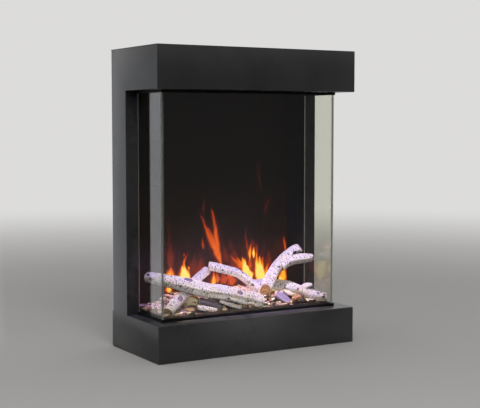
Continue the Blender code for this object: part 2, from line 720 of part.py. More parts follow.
def glass_outline(outside, inside, rear):
    """Plan of a band that follows the three panes, at given distances outside and inside them."""
    outer_x, outer_y = GLASS_HALF_WIDTH + outside, GLASS_FRONT - outside
    inner_x, inner_y = GLASS_HALF_WIDTH - GLASS - inside, GLASS_FRONT + GLASS + inside
    return (
        (-outer_x, rear), (-outer_x, outer_y), (outer_x, outer_y), (outer_x, rear),
        (inner_x, rear), (inner_x, inner_y), (-inner_x, inner_y), (-inner_x, rear),
    )


def glass_channel(name, bottom, top, groove_bottom, groove_top):
    """A black channel round three sides, with the groove that the panes stand in."""
    wall = CHANNEL_WALL + GAP
    piece = node(name, prism(glass_outline(wall, wall, GLASS_REAR), "Z", bottom, top), "matt_black_liner")
    groove = glass_outline(GAP, GAP, GLASS_REAR + OVERRUN)
    cut(piece, prism(groove, "Z", groove_bottom, groove_top))


def glass_panes():
    """The front pane and the two side panes that butt against its back."""
    low = (-GLASS_HALF_WIDTH, GLASS_FRONT, GLASS_BOTTOM)
    node("front_glass", box(low, (GLASS_HALF_WIDTH, GLASS_FRONT + GLASS, GLASS_TOP)), "clear_glass")
    for name, side in (("left_glass", -1), ("right_glass", 1)):
        low = (side * GLASS_HALF_WIDTH, GLASS_FRONT + GLASS + GAP, GLASS_BOTTOM)
        node(name, box(low, (side * (GLASS_HALF_WIDTH - GLASS), GLASS_REAR, GLASS_TOP)), "clear_glass")


def corner_seal(name, side):
    """A quarter-round seal up the inside of a glass corner."""
    x = GLASS_HALF_WIDTH - GLASS - GAP
    y = GLASS_FRONT + GLASS + GAP
    outline = [(side * x, y)]
    for i in range(FOLD_STEPS + 1):
        angle = math.pi / 2 * i / FOLD_STEPS
        outline.append((side * (x - SEAL * math.cos(angle)), y + SEAL * math.sin(angle)))
    node(name, prism(outline, "Z", CHANNEL_TOP + GAP, SOFFIT - CHANNEL_HEIGHT - GAP), "clear_seal")


def inner_wall(name, side):
    """A splayed black wall from the glass's rear edge to the flame screen."""
    lip_y = POST_FRONT + SHEET + GAP
    corners = (
        (side * (WIDTH / 2 - WALL_LIP_START), lip_y),
        (side * (WIDTH / 2 - WALL_LIP_END), lip_y),
        (side * (WIDTH / 2 - SCREEN_SIDE_INSET), SCREEN_FRONT - GAP - THIN_SHEET),
    )
    node(name, prism(sheet_outline(corners, -side * THIN_SHEET), "Z", SHELF_TOP, SOFFIT), "matt_black_liner")


def flame_screen():
    """The dark panel that the flames show on."""
    half = WIDTH / 2 - SCREEN_SIDE_INSET + FOLD_RADIUS
    node("flame_screen", box((-half, SCREEN_FRONT, SHELF_TOP), (half, SCREEN_FRONT + SCREEN, SOFFIT)), "smoked_screen")


def tray_edge(y):
    """Half of the tray's width at a depth. It narrows between the splayed walls."""
    taper = max(y - POST_FRONT, 0) / (TRAY_REAR - POST_FRONT)
    return TRAY_HALF_WIDTH - TRAY_TAPER * taper


def tray_block(grow, bottom, top):
    """A block with the tray's plan, larger or smaller by a distance all round."""
    front, rear = TRAY_FRONT - grow, TRAY_REAR + grow
    edge = [(tray_edge(y) + grow, y) for y in (front, POST_FRONT, rear)]
    return prism(edge + [(-x, y) for x, y in reversed(edge)], "Z", bottom, top)


def bed_tray():
    """The tray that hangs by its rim in the ledge and holds the bed."""
    piece = node("bed_tray", tray_block(0, TRAY_BOTTOM, CHANNEL_TOP), "matt_black_liner")
    join(piece, tray_block(TRAY_RIM, SHELF_TOP, SHELF_TOP + TRAY_RIM_THICKNESS))
    cut(piece, tray_block(-SHEET, TRAY_BOTTOM + SHEET, CHANNEL_TOP + OVERRUN))


def bed_height(x, y):
    """Height of the chips: low along the front and at both ends, heaped towards the back, and uneven."""
    heap = smooth_step((y - CHAMBER_LOW.y - BED_SLOPE_START) / BED_SLOPE_RUN)
    heap *= smooth_step((x - LEFT - BED_LEFT_START) / BED_LEFT_RUN)
    heap *= smooth_step((GLASS_HALF_WIDTH - x - BED_RIGHT_START) / BED_RIGHT_RUN)
    wave_x, wave_y = x / BED_RIPPLE_LENGTH, y / BED_RIPPLE_LENGTH
    ripple = math.sin(wave_x + 2 * math.sin(wave_y)) * math.cos(1.7 * wave_y + math.sin(0.6 * wave_x))
    return BED_TOP + BED_RISE * heap + BED_RIPPLE * ripple


def media_bed(hollows):
    """The bed of chips in the tray, with a hollow for each log that lies in it."""
    front, rear = TRAY_FRONT + SHEET + GAP, TRAY_REAR - SHEET - GAP
    shape = bmesh.new()
    bmesh.ops.create_grid(shape, x_segments=BED_COLUMNS, y_segments=BED_ROWS, size=1)
    bmesh.ops.triangulate(shape, faces=shape.faces)
    top = list(shape.verts)
    under = [face for face in bmesh.ops.duplicate(shape, geom=shape.faces)["geom"]]
    bottom = [part for part in under if isinstance(part, bmesh.types.BMVert)]
    for vert in top + bottom:
        y = (front + rear + vert.co.y * (rear - front)) / 2
        x = vert.co.x * (tray_edge(y) - SHEET - GAP)
        vert.co = Vector((x, y, bed_height(x, y)))
    for vert in bottom:
        vert.co.z = TRAY_BOTTOM + SHEET + GAP
    bmesh.ops.bridge_loops(shape, edges=[edge for edge in shape.edges if edge.is_boundary])
    bmesh.ops.recalc_face_normals(shape, faces=shape.faces)
    bmesh.ops.dissolve_limit(shape, angle_limit=FLAT, verts=bottom, edges=shape.edges)
    piece = node("media_bed", shape, "bark_chips")
    for hollow in hollows:
        cut(piece, hollow)


def logs():
    """The birch logs and the smaller pieces, each seated in the bed or on the log that carries it."""
    node_of = {}
    chunk = (CHUNK_SIDES, CHUNK_OVAL_SHARE)
    birch = (LOG_SIDES, LOG_OVAL_SHARE)
    table = (
        ("long_log", LONG_LOG_SHARES, LONG_LOG_RADIUS, birch, "birch_bark"),
        ("prop_log", PROP_LOG_SHARES, PROP_LOG_RADIUS, birch, "birch_bark"),
        ("middle_log", MIDDLE_LOG_SHARES, MIDDLE_LOG_RADIUS, birch, "birch_bark"),
        ("forked_log", FORKED_LOG_SHARES, FORKED_LOG_RADIUS, birch, "birch_bark"),
        ("low_log", LOW_LOG_SHARES, LOW_LOG_RADIUS, birch, "birch_bark"),
        ("grey_split_log", SPLIT_LOG_SHARES, SPLIT_LOG_RADIUS, chunk, "grey_driftwood"),
        ("driftwood_chunk", DRIFTWOOD_SHARES, DRIFTWOOD_RADIUS, chunk, "grey_driftwood"),
        ("bark_chunk", BARK_SHARES, BARK_RADIUS, chunk, "tan_bark"),
        ("long_stick", LONG_STICK_SHARES, LONG_STICK_RADIUS, chunk, "birch_bark"),
        ("short_stick", SHORT_STICK_SHARES, SHORT_STICK_RADIUS, chunk, "birch_bark"),
        ("small_log", SMALL_LOG_SHARES, SMALL_LOG_RADIUS, chunk, "brown_bark"),
    )
    for name, shares, radius, (sides, oval), finish in table:
        node_of[name] = node(name, log_shape(shares, radius, sides, oval), finish, round_piece=True)
    join(node_of["forked_log"], log_shape(FORK_BRANCH_SHARES, FORK_BRANCH_RADIUS))
    join(node_of["low_log"], log_shape(LOW_LOG_STUB_SHARES, LOW_LOG_STUB_RADIUS))
    grown = {name: (shares, radius, *kind, GAP) for name, shares, radius, kind, _ in table}
    for carried, carrier in RESTS:
        cut(node_of[carried], log_shape(*grown[carrier]))
    return [log_shape(*grown[name]) for name in grown]


def slots_along_x(count, start, end, bar, front, rear, bottom, top):
    """Evenly spaced openings along X, with bars of one width between them."""
    shape = bmesh.new()
    width = (end - start - bar * (count - 1)) / count
    for i in range(count):
        low = start + i * (width + bar)
        box((low, front, bottom), (low + width, rear, top), shape)
    return shape


def outlet_grille():
    """The louvre in the hood's underside that the warm air comes out of."""
    half_length, half_width = OUTLET_LENGTH / 2 - GAP, OUTLET_WIDTH / 2 - GAP
    low = (OUTLET_X - half_length, LEDGE_Y - half_width, HOOD_BOTTOM)
    high = (OUTLET_X + half_length, LEDGE_Y + half_width, HOOD_BOTTOM + GRILLE_THICKNESS)
    piece = node("outlet_grille", box(low, high), "matt_black_liner")
    start, end = low[0] + GRILLE_RIM, high[0] - GRILLE_RIM
    front, rear = low[1] + GRILLE_RIM, high[1] - GRILLE_RIM
    top = HOOD_BOTTOM + GRILLE_THICKNESS + OVERRUN
    cut(piece, slots_along_x(GRILLE_SLOTS, start, end, GRILLE_BAR, front, rear, HOOD_BOTTOM - OVERRUN, top))


def blower_housing():
    """Two end plates with the scroll and the tongue between them."""
    low_z, high_z = HOOD_FLOOR, HOOD_BOTTOM + HOUSING_TOP
    front, rear = FRONT + HOUSING_FRONT, FRONT + HOUSING_REAR
    plates = [(BLOWER_LEFT, BLOWER_LEFT + HOUSING_END), (BLOWER_RIGHT - HOUSING_END, BLOWER_RIGHT)]
    first, second = [box((start, front, low_z), (end, rear, high_z)) for start, end in plates]
    piece = node("blower_housing", first, "galvanised_steel")
    join(piece, second)
    foot = low_z + THIN_SHEET
    mouth = Vector((FRONT + DUCT_REAR - BLOWER_Y, foot - BLOWER_Z))
    leave = math.atan2(mouth.y, mouth.x) + math.acos(SCROLL_RADIUS / mouth.length)
    scroll = [(FRONT + DUCT_REAR, foot)]
    for i in range(SCROLL_STEPS + 1):
        angle = leave + (SCROLL_END - leave) * i / SCROLL_STEPS
        scroll.append((BLOWER_Y + SCROLL_RADIUS * math.cos(angle), BLOWER_Z + SCROLL_RADIUS * math.sin(angle)))
    tongue = (
        (FRONT + DUCT_FRONT, foot),
        (FRONT + DUCT_FRONT, HOOD_BOTTOM + TONGUE_RISE),
        (FRONT + TONGUE_TIP_SETBACK, HOOD_BOTTOM + TONGUE_TIP_RISE),
    )
    start, end = BLOWER_LEFT + OVERLAP, BLOWER_RIGHT - OVERLAP
    for corners, thickness in ((scroll, -THIN_SHEET), (tongue, THIN_SHEET)):
        join(piece, prism(sheet_outline(corners, thickness), "X", start, end))
    hole = SHAFT_RADIUS + GAP
    reach = ((BLOWER_LEFT - OVERRUN, hole), (BLOWER_RIGHT + OVERRUN, hole))
    cut(piece, turned(reach, "X", Vector((0, BLOWER_Y, BLOWER_Z)), LOG_SIDES * 2))


def blower_wheel():
    """The cross-flow wheel: a shaft, three discs and a ring of curved-in blades."""
    centre = Vector((0, BLOWER_Y, BLOWER_Z))
    start = BLOWER_LEFT + HOUSING_END + WHEEL_END_GAP
    end = BLOWER_RIGHT - HOUSING_END - WHEEL_END_GAP
    shaft = ((BLOWER_LEFT - SHAFT_STUB, SHAFT_RADIUS), (BLOWER_RIGHT + SHAFT_IN_MOTOR, SHAFT_RADIUS))
    piece = node("blower_wheel", turned(shaft, "X", centre, LOG_SIDES * 2), "grey_plastic", origin=centre)
    discs = bmesh.new()
    for low in (start, (start + end - WHEEL_DISC) / 2, end - WHEEL_DISC):
        turned(((low, WHEEL_RADIUS), (low + WHEEL_DISC, WHEEL_RADIUS)), "X", centre, LOG_SIDES * 2, discs)
    join(piece, discs)
    blades = bmesh.new()
    for i in range(WHEEL_BLADES):
        spin = Matrix.Rotation(2 * math.pi * i / WHEEL_BLADES, 2)
        lean = Matrix.Rotation(BLADE_TURN, 2)
        outer = Vector((WHEEL_RADIUS - BLADE_INSET, 0))
        corners = [(0, 0), (0, BLADE), (-BLADE_DEPTH, BLADE), (-BLADE_DEPTH, 0)]
        outline = [spin @ (outer + lean @ Vector(corner)) + Vector((BLOWER_Y, BLOWER_Z)) for corner in corners]
        prism(outline, "X", start + OVERLAP, end - OVERLAP, blades)
    join(piece, blades)


def motor(name, radius, length, start, centre, shaft_radius):
    """A small motor with a boss round the bore that the driven shaft ends in."""
    profile = (
        (start, MOTOR_BOSS_RADIUS), (start + MOTOR_BOSS, MOTOR_BOSS_RADIUS), (start + MOTOR_BOSS, radius - MOTOR_CHAMFER),
        (start + MOTOR_BOSS + MOTOR_CHAMFER, radius), (start + length - MOTOR_CHAMFER, radius),
        (start + length, radius - MOTOR_CHAMFER),
    )
    piece = node(name, turned(profile, "X", centre, LOG_SIDES * 2), "galvanised_steel", round_piece=True)
    bore = shaft_radius + GAP
    reach = ((start - OVERRUN, bore), (start + SHAFT_IN_MOTOR + OVERRUN, bore))
    cut(piece, turned(reach, "X", centre, LOG_SIDES * 2))


def heater_element():
    """The ceramic heater block across the duct, with slots for the air between its fins."""
    low_x, high_x = BLOWER_LEFT + HOUSING_END + GAP, BLOWER_RIGHT - HOUSING_END - GAP
    low_z, high_z = HOOD_BOTTOM + HEATER_BOTTOM, HOOD_BOTTOM + HEATER_TOP
    front, rear = FRONT + HEATER_FRONT, FRONT + HEATER_REAR
    piece = node("heater_element", box((low_x, front, low_z), (high_x, rear, high_z)), "heater_ceramic")
    ends = (low_x + HEATER_RIM, high_x - HEATER_RIM)
    sides = (front + HEATER_RIM, rear - HEATER_RIM)
    cut(piece, slots_along_x(HEATER_SLOTS, *ends, HEATER_FIN, *sides, low_z - OVERRUN, high_z + OVERRUN))


def thermal_cutout():
    """The round overheat switch on the blower housing's left end."""
    end = BLOWER_LEFT - GAP
    profile = ((end - CUTOUT_LENGTH, CUTOUT_RADIUS), (end, CUTOUT_RADIUS))
    centre = Vector((0, FRONT + CUTOUT_SETBACK, HOOD_BOTTOM + CUTOUT_RISE))
    node("thermal_cutout", turned(profile, "X", centre, LOG_SIDES), "black_plastic", round_piece=True)


def log_light():
    """The lens in the hood's underside and the strip of lights that sits on it."""
    half, slot = LIGHT_LENGTH / 2 - GAP, LIGHT_SLOT_WIDTH / 2
    body, flange, groove = slot - GAP, slot + LENS_FLANGE, LENS_GROOVE_WIDTH / 2
    bottom, floor = HOOD_BOTTOM, HOOD_BOTTOM + LENS_FLOOR
    top = HOOD_FLOOR + LENS_FLANGE_THICKNESS
    outline = (
        (LIGHT_Y - body, bottom), (LIGHT_Y + body, bottom), (LIGHT_Y + body, HOOD_FLOOR),
        (LIGHT_Y + flange, HOOD_FLOOR), (LIGHT_Y + flange, top), (LIGHT_Y + groove, top),
        (LIGHT_Y + groove, floor), (LIGHT_Y - groove, floor), (LIGHT_Y - groove, top),
        (LIGHT_Y - flange, top), (LIGHT_Y - flange, HOOD_FLOOR), (LIGHT_Y - body, HOOD_FLOOR),
    )
    node("log_light_lens", prism(outline, "X", -half, half), "white_lens")
    board_bottom = top + GAP
    low = (-half, LIGHT_Y - flange, board_bottom)
    light_board("log_light_board", low, (half, LIGHT_Y + flange, board_bottom + BOARD), LOG_LIGHT_DIES, "down")


def light_board(name, low, high, dies, way):
    """A strip of circuit board with a row of light dies on one face."""
    piece = node(name, box(low, high), "circuit_board")
    middle = (Vector(low) + Vector(high)) / 2
    length = high[0] - low[0]
    row = bmesh.new()
    for i in range(dies):
        x = low[0] + length * (i + 0.5) / dies
        near = Vector((x - DIE / 2, middle.y - DIE / 2, middle.z - DIE / 2))
        far = Vector((x + DIE / 2, middle.y + DIE / 2, middle.z + DIE / 2))
        if way == "down":
            near.z, far.z = low[2] - DIE_HEIGHT, low[2] + BOARD / 2
        elif way == "up":
            near.z, far.z = high[2] - BOARD / 2, high[2] + DIE_HEIGHT
        else:
            near.y, far.y = high[1] - BOARD / 2, high[1] + DIE_HEIGHT
        box(near, far, row)
    join(piece, row)


def ember_light_board():
    """The strip under the tray that makes the bed glow."""
    top = TRAY_BOTTOM - GAP - DIE_HEIGHT
    y = TRAY_FRONT + EMBER_TRAY_INSET
    half = TRAY_HALF_WIDTH - EMBER_INSET
    low = (-half, y - EMBER_WIDTH / 2, top - BOARD)
    light_board("ember_light_board", low, (half, y + EMBER_WIDTH / 2, top), EMBER_DIES, "up")


def flame_light():
    """The strip that shines on the flicker rod, on its bracket on the base."""
    start, end, face = ROD_LEFT + BRACKET_INSET, ROD_RIGHT - BRACKET_INSET, BRACKET_FACE
    corners = ((face - BRACKET_FOOT, BASE_TOP), (face, BASE_TOP), (face, BRACKET_HEIGHT))
    outline = sheet_outline(corners, THIN_SHEET)
    node("flame_light_bracket", prism(outline, "X", start, end), "galvanised_steel")
    low = (start, face + GAP, FLAME_BOARD_BOTTOM)
    light_board("flame_light_board", low, (end, face + GAP + BOARD, FLAME_BOARD_TOP), FLAME_DIES, "back")


def rod_bearing(name, face, way):
    """A bent bracket on the base with the hole that the flicker rod turns in."""
    corners = ((face + way * BEARING_FOOT, BASE_TOP), (face, BASE_TOP), (face, BEARING_HEIGHT))
    outline = sheet_outline(corners, -way * SHEET)
    half = BEARING_WIDTH / 2
    piece = node(name, prism(outline, "Y", ROD_Y - half, ROD_Y + half), "galvanised_steel")
    hole = ROD_RADIUS + GAP
    reach = sorted((face - way * OVERRUN, face + way * (SHEET + OVERRUN)))
    centre = Vector((0, ROD_Y, ROD_RISE))
    cut(piece, turned([(x, hole) for x in reach], "X", centre, LOG_SIDES * 2))


def flicker_rod():
    """The turning shaft with bright vanes, each a step round from the one before."""
    centre = Vector((0, ROD_Y, ROD_RISE))
    shaft = ((ROD_LEFT - SHAFT_STUB, ROD_RADIUS), (ROD_RIGHT + GAP + SHAFT_IN_MOTOR, ROD_RADIUS))
    piece = node("flicker_rod", turned(shaft, "X", centre, LOG_SIDES * 2), "bright_steel", origin=centre)
    vanes = bmesh.new()
    pitch = (ROD_RIGHT - ROD_LEFT) / VANES
    for i in range(VANES):
        x = ROD_LEFT + pitch * (i + 0.5)
        turn = Matrix.Rotation(VANE_TWIST * i, 2)
        corners = [(-VANE_RADIUS, -VANE / 2), (VANE_RADIUS, -VANE / 2), (VANE_RADIUS, VANE / 2), (-VANE_RADIUS, VANE / 2)]
        outline = [turn @ Vector(corner) + Vector((ROD_Y, ROD_RISE)) for corner in corners]
        prism(outline, "X", x - VANE_LENGTH / 2, x + VANE_LENGTH / 2, vanes)
    join(piece, vanes)


def power_supply():
    """The power supply's case, on the floor of the hood."""
    start, y = LEFT + SUPPLY_SIDE_INSET, BACK - SUPPLY_REAR_GAP
    low = (start, y - SUPPLY_WIDTH / 2, HOOD_FLOOR)
    high = (start + SUPPLY_LENGTH, y + SUPPLY_WIDTH / 2, HOOD_FLOOR + SUPPLY_HEIGHT)
    shape = box(low, high)
    bmesh.ops.bevel(shape, geom=list(shape.edges), offset=SUPPLY_BEVEL, segments=1, affect="EDGES")
    node("power_supply", shape, "black_plastic")


def control_panel():
    """The moulded insert that carries the buttons, the rocker, the receiver and the board."""
    half_length, half_width = PANEL_LENGTH / 2, PANEL_WIDTH / 2
    reach_x, reach_y = half_length + PANEL_FLANGE, half_width + PANEL_FLANGE
    low = (PANEL_X - reach_x, LEDGE_Y - reach_y, HOOD_FLOOR)
    piece = node("control_panel", box(low, (PANEL_X + reach_x, LEDGE_Y + reach_y, PANEL_TOP)), "black_plastic")
    half_length, half_width = half_length - GAP, half_width - GAP
    low = (PANEL_X - half_length, LEDGE_Y - half_width, HOOD_BOTTOM)
    join(piece, box(low, (PANEL_X + half_length, LEDGE_Y + half_width, PANEL_TOP - OVERLAP)))
    posts = bmesh.new()
    for across in (-1, 1):
        for along in (-1, 1):
            x = PANEL_X + along * (half_length - POST_INSET)
            centre = Vector((x, LEDGE_Y + across * (half_width - POST_INSET / 2), 0))
            post = ((PANEL_TOP - OVERLAP, POST_RADIUS), (HOOD_BOTTOM + BOARD_RISE - GAP, POST_RADIUS))
            turned(post, "Z", centre, LOG_SIDES, posts)
    join(piece, posts)
    holes = bmesh.new()
    bottom, top = HOOD_BOTTOM - OVERRUN, PANEL_TOP + OVERRUN
    buttons = (FLAME_BUTTON_OFFSET, HEAT_BUTTON_OFFSET, TIMER_BUTTON_OFFSET)
    for offset, radius in [(offset, BUTTON_RADIUS) for offset in buttons] + [(RECEIVER_OFFSET, RECEIVER_RADIUS)]:
        centre = Vector((PANEL_X + offset, LEDGE_Y, 0))
        turned(((bottom, radius + GAP), (top, radius + GAP)), "Z", centre, LOG_SIDES * 2, holes)
    x = PANEL_X + ROCKER_OFFSET
    length, width = ROCKER_FRAME_LENGTH / 2 + GAP, ROCKER_FRAME_WIDTH / 2 + GAP
    box((x - length, LEDGE_Y - width, bottom), (x + length, LEDGE_Y + width, top), holes)
    cut(piece, holes)


def control_board():
    """The board on the panel's posts, with a switch above each button."""
    half_length, half_width = PANEL_LENGTH / 2, PANEL_WIDTH / 2
    bottom = HOOD_BOTTOM + BOARD_RISE
    low = (PANEL_X - half_length, LEDGE_Y - half_width, bottom)
    piece = node("control_board", box(low, (PANEL_X + half_length, LEDGE_Y + half_width, bottom + BOARD)), "circuit_board")
    switches = bmesh.new()
    for offset in (FLAME_BUTTON_OFFSET, HEAT_BUTTON_OFFSET, TIMER_BUTTON_OFFSET):
        x, half = PANEL_X + offset, SWITCH_SIZE / 2
        low = (x - half, LEDGE_Y - half, bottom - SWITCH_HEIGHT)
        box(low, (x + half, LEDGE_Y + half, bottom + BOARD / 2), switches)
    join(piece, switches)


def button(name, offset):
    """A push button: its head below the panel, its collar above it and its stem up to the switch."""
    centre = Vector((PANEL_X + offset, LEDGE_Y, HOOD_BOTTOM))
    head = -BUTTON_PROUD
    collar = PANEL_THICKNESS + GAP
    stem = BOARD_RISE - SWITCH_HEIGHT - BUTTON_TRAVEL - GAP
    profile = (
        (head, BUTTON_RADIUS - BUTTON_EDGE), (head + BUTTON_EDGE, BUTTON_RADIUS), (collar, BUTTON_RADIUS),
        (collar, BUTTON_RADIUS + BUTTON_COLLAR),
        (collar + BUTTON_COLLAR_THICKNESS, BUTTON_RADIUS + BUTTON_COLLAR),
        (collar + BUTTON_COLLAR_THICKNESS, BUTTON_STEM_RADIUS), (stem, BUTTON_STEM_RADIUS),
    )
    shape = turned(profile, "Z", centre, LOG_SIDES * 2)
    node(name, shape, "grey_plastic", origin=centre, round_piece=True)


def receiver_window():
    """The dark window that the remote control is pointed at."""
    collar = PANEL_THICKNESS + GAP
    wide = RECEIVER_RADIUS + RECEIVER_COLLAR
    profile = ((0, RECEIVER_RADIUS), (collar, RECEIVER_RADIUS), (collar, wide), (collar + RECEIVER_COLLAR, wide))
    centre = Vector((PANEL_X + RECEIVER_OFFSET, LEDGE_Y, HOOD_BOTTOM))
    node("receiver_window", turned(profile, "Z", centre, LOG_SIDES * 2), "dark_window", round_piece=True)


def power_rocker():
    """The power switch: its frame in the panel, and the rocker that tips on two pins in it."""
    x = PANEL_X + ROCKER_OFFSET
    length, width = ROCKER_FRAME_LENGTH / 2, ROCKER_FRAME_WIDTH / 2
    bottom = HOOD_BOTTOM - ROCKER_FRAME_PROUD
    top = HOOD_BOTTOM + ROCKER_FRAME_RISE
    shape = box((x - length, LEDGE_Y - width, bottom), (x + length, LEDGE_Y + width, top))
    frame = node("rocker_frame", shape, "black_plastic")
    length, width = ROCKER_CAVITY_LENGTH / 2, ROCKER_CAVITY_WIDTH / 2
    top = HOOD_BOTTOM + ROCKER_CAVITY_RISE
    cut(frame, box((x - length, LEDGE_Y - width, bottom - OVERRUN), (x + length, LEDGE_Y + width, top)))
    centre = Vector((x, LEDGE_Y, HOOD_BOTTOM + ROCKER_RISE))
    pin = width + ROCKER_PIN
    hole = ROCKER_PIN_RADIUS + GAP
    cut(frame, turned(((-pin - GAP, hole), (pin + GAP, hole)), "Y", centre, LOG_SIDES * 2))
    half, thick = ROCKER_LENGTH / 2, ROCKER_THICKNESS / 2
    side = width - GAP
    low = centre - Vector((half, side, thick))
    piece = node("power_rocker", box(low, centre + Vector((half, side, thick))), "grey_plastic", origin=centre)
    join(piece, rocker_pins(centre, pin, side))
    piece.rotation_euler.y = ROCKER_TILT


def rocker_pins(centre, pin, side):
    """The rocker's two pins."""
    shape = bmesh.new()
    for way in (-1, 1):
        reach = sorted((way * pin, way * (side - OVERLAP)))
        turned([(y, ROCKER_PIN_RADIUS) for y in reach], "Y", centre, LOG_SIDES * 2, shape)
    return shape


def cable_gland():
    """The gland in the back panel that the mains lead passes through."""
    inner = REAR_LIP - GLAND_FLANGE_THICKNESS
    wide = GLAND_RADIUS + GLAND_FLANGE
    profile = (
        (inner, GLAND_BORE), (inner, wide), (REAR_LIP, wide), (REAR_LIP, GLAND_RADIUS),
        (BACK, GLAND_RADIUS), (BACK, GLAND_BORE),
    )
    shape = turned(profile, "Y", Vector((GLAND_X, 0, GLAND_RISE)), LOG_SIDES * 2, hollow=True)
    node("cable_gland", shape, "black_rubber", round_piece=True)


def surround():
    """The steel casing."""
    hood_shell()
    plinth_shell()
    side_panel("left_side_panel", -1)
    side_panel("right_side_panel", 1)
    end_plate("top_plate", HEIGHT, -1)
    end_plate("base_plate", 0, 1)
    back_panel()
    back_screws()
    cable_gland()


def glass_box():
    """The panes, the channels that hold them, the seals, the inner walls and the flame screen."""
    glass_channel("lower_glass_channel", SHELF_TOP, CHANNEL_TOP, SHELF_TOP + CHANNEL_FLOOR, CHANNEL_TOP + OVERRUN)
    low = SOFFIT - CHANNEL_HEIGHT
    glass_channel("upper_glass_channel", low, SOFFIT, low - OVERRUN, SOFFIT - CHANNEL_FLOOR)
    glass_panes()
    corner_seal("left_corner_seal", -1)
    corner_seal("right_corner_seal", 1)
    inner_wall("left_inner_wall", -1)
    inner_wall("right_inner_wall", 1)
    flame_screen()


def heater():
    """What blows the warm air out under the hood."""
    outlet_grille()
    blower_housing()
    blower_wheel()
    centre = Vector((0, BLOWER_Y, BLOWER_Z))
    start = BLOWER_RIGHT + GAP
    motor("blower_motor", BLOWER_MOTOR_RADIUS, BLOWER_MOTOR_LENGTH, start, centre, SHAFT_RADIUS)
    heater_element()
    thermal_cutout()


def flame_works():
    """What lights the logs and makes the flames move."""
    log_light()
    ember_light_board()
    flame_light()
    rod_bearing("rod_bearing_left", ROD_LEFT, -1)
    rod_bearing("rod_bearing_right", ROD_RIGHT, -1)
    flicker_rod()
    centre = Vector((0, ROD_Y, ROD_RISE))
    motor("flicker_motor", ROD_MOTOR_RADIUS, ROD_MOTOR_LENGTH, ROD_RIGHT + GAP, centre, ROD_RADIUS)


def controls():
    """The buttons and the power switch, with the board behind them."""
    control_panel()
    control_board()
    button("flame_button", FLAME_BUTTON_OFFSET)
    button("heat_button", HEAT_BUTTON_OFFSET)
    button("timer_button", TIMER_BUTTON_OFFSET)
    receiver_window()
    power_rocker()
    power_supply()


def main():
    """Builds the whole fireplace."""
    clear_scene()
    surround()
    glass_box()
    bed_tray()
    media_bed(logs())
    heater()
    flame_works()
    controls()


main()
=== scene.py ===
"""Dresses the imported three-sided electric fireplace: casing, glass, flame screen, logs and bed."""

import json
import logging
import math
from dataclasses import dataclass, field
from enum import Enum
from functools import cache, reduce

import bmesh
import bpy
import numpy as np
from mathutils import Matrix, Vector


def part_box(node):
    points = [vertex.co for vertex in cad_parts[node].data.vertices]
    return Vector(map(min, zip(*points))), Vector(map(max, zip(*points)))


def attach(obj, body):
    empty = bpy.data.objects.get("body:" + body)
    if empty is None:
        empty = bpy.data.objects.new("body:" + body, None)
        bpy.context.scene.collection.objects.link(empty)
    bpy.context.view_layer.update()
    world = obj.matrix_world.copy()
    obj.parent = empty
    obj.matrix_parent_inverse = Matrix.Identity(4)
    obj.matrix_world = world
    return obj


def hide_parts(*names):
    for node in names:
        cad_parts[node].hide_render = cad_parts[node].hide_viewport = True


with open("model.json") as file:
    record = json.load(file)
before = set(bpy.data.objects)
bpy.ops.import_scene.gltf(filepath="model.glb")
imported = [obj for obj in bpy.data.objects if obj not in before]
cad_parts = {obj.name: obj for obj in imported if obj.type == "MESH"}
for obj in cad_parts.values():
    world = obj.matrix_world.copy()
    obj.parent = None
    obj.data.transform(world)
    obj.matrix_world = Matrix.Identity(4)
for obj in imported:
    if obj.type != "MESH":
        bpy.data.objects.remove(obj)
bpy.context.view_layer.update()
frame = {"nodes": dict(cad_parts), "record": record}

log = logging.getLogger("fireplace")

CASING = "casing"

Socket = bpy.types.NodeSocket
Feed = Socket | float | tuple[float, ...]
Feeds = dict[str | int, Feed]
Colour = tuple[float, ...]
Pair = tuple[float, float]
Triple = tuple[float, float, float]
Table = tuple[tuple[int, ...], ...]


# Numbers and noise

HASH_AXES = (73856093, 19349663, 83492791)
HASH_SEED = 40503
HASH_SPREAD = 1274126177
HASH_MASK = 0x7FFFFFFF


def paint(red: float, green: float, blue: float) -> Colour:
    """A colour as a shader takes it, from display values of 0 to 255.

    Args:
        red, green, blue: display values.

    Returns:
        Linear red, green, blue and an alpha of 1.
    """
    shares = np.array((red, green, blue)) / 255
    linear = np.where(shares <= 0.04045, shares / 12.92, ((shares + 0.055) / 1.055) ** 2.4)
    return (*linear.tolist(), 1.0)


def scaled_rows(kind: type, scales: tuple[int, ...], table: Table) -> tuple:
    """Entries from rows of whole numbers.

    Args:
        kind: what each row makes.
        scales: what each column's numbers are divided by.
        table: the rows.

    Returns:
        One entry for each row.
    """
    return tuple(kind(*(value / scale for value, scale in zip(row, scales))) for row in table)


def ease(share: np.ndarray) -> np.ndarray:
    """Three t squared less two t cubed, with t held between 0 and 1."""
    share = np.clip(share, 0.0, 1.0)
    return share * share * (3 - 2 * share)


def lattice_noise(place: np.ndarray, cell: float, seed: int) -> np.ndarray:
    """Smooth noise in space.

    Space is cut into cubes. Each corner's whole-number place is hashed to a value from -1 to 1, and
    a point takes the eased blend of the eight corners round it.

    Args:
        place: points, in metres, in the last axis.
        cell: side of a cube, in metres.
        seed: picks another pattern.

    Returns:
        One value from -1 to 1 for each point.
    """
    scaled = np.asarray(place, float) / cell
    low = np.floor(scaled).astype(np.int64)
    part = ease(scaled - low)
    total = np.zeros(scaled.shape[:-1])
    for corner in np.ndindex(2, 2, 2):
        mark = np.bitwise_xor.reduce((low + corner) * HASH_AXES, axis=-1) ^ seed * HASH_SEED
        mark = (mark ^ (mark >> 13)) * HASH_SPREAD & HASH_MASK
        weight = np.prod(np.where(np.array(corner) == 1, part, 1 - part), axis=-1)
        total += weight * (mark / (HASH_MASK // 2) - 1)
    return total


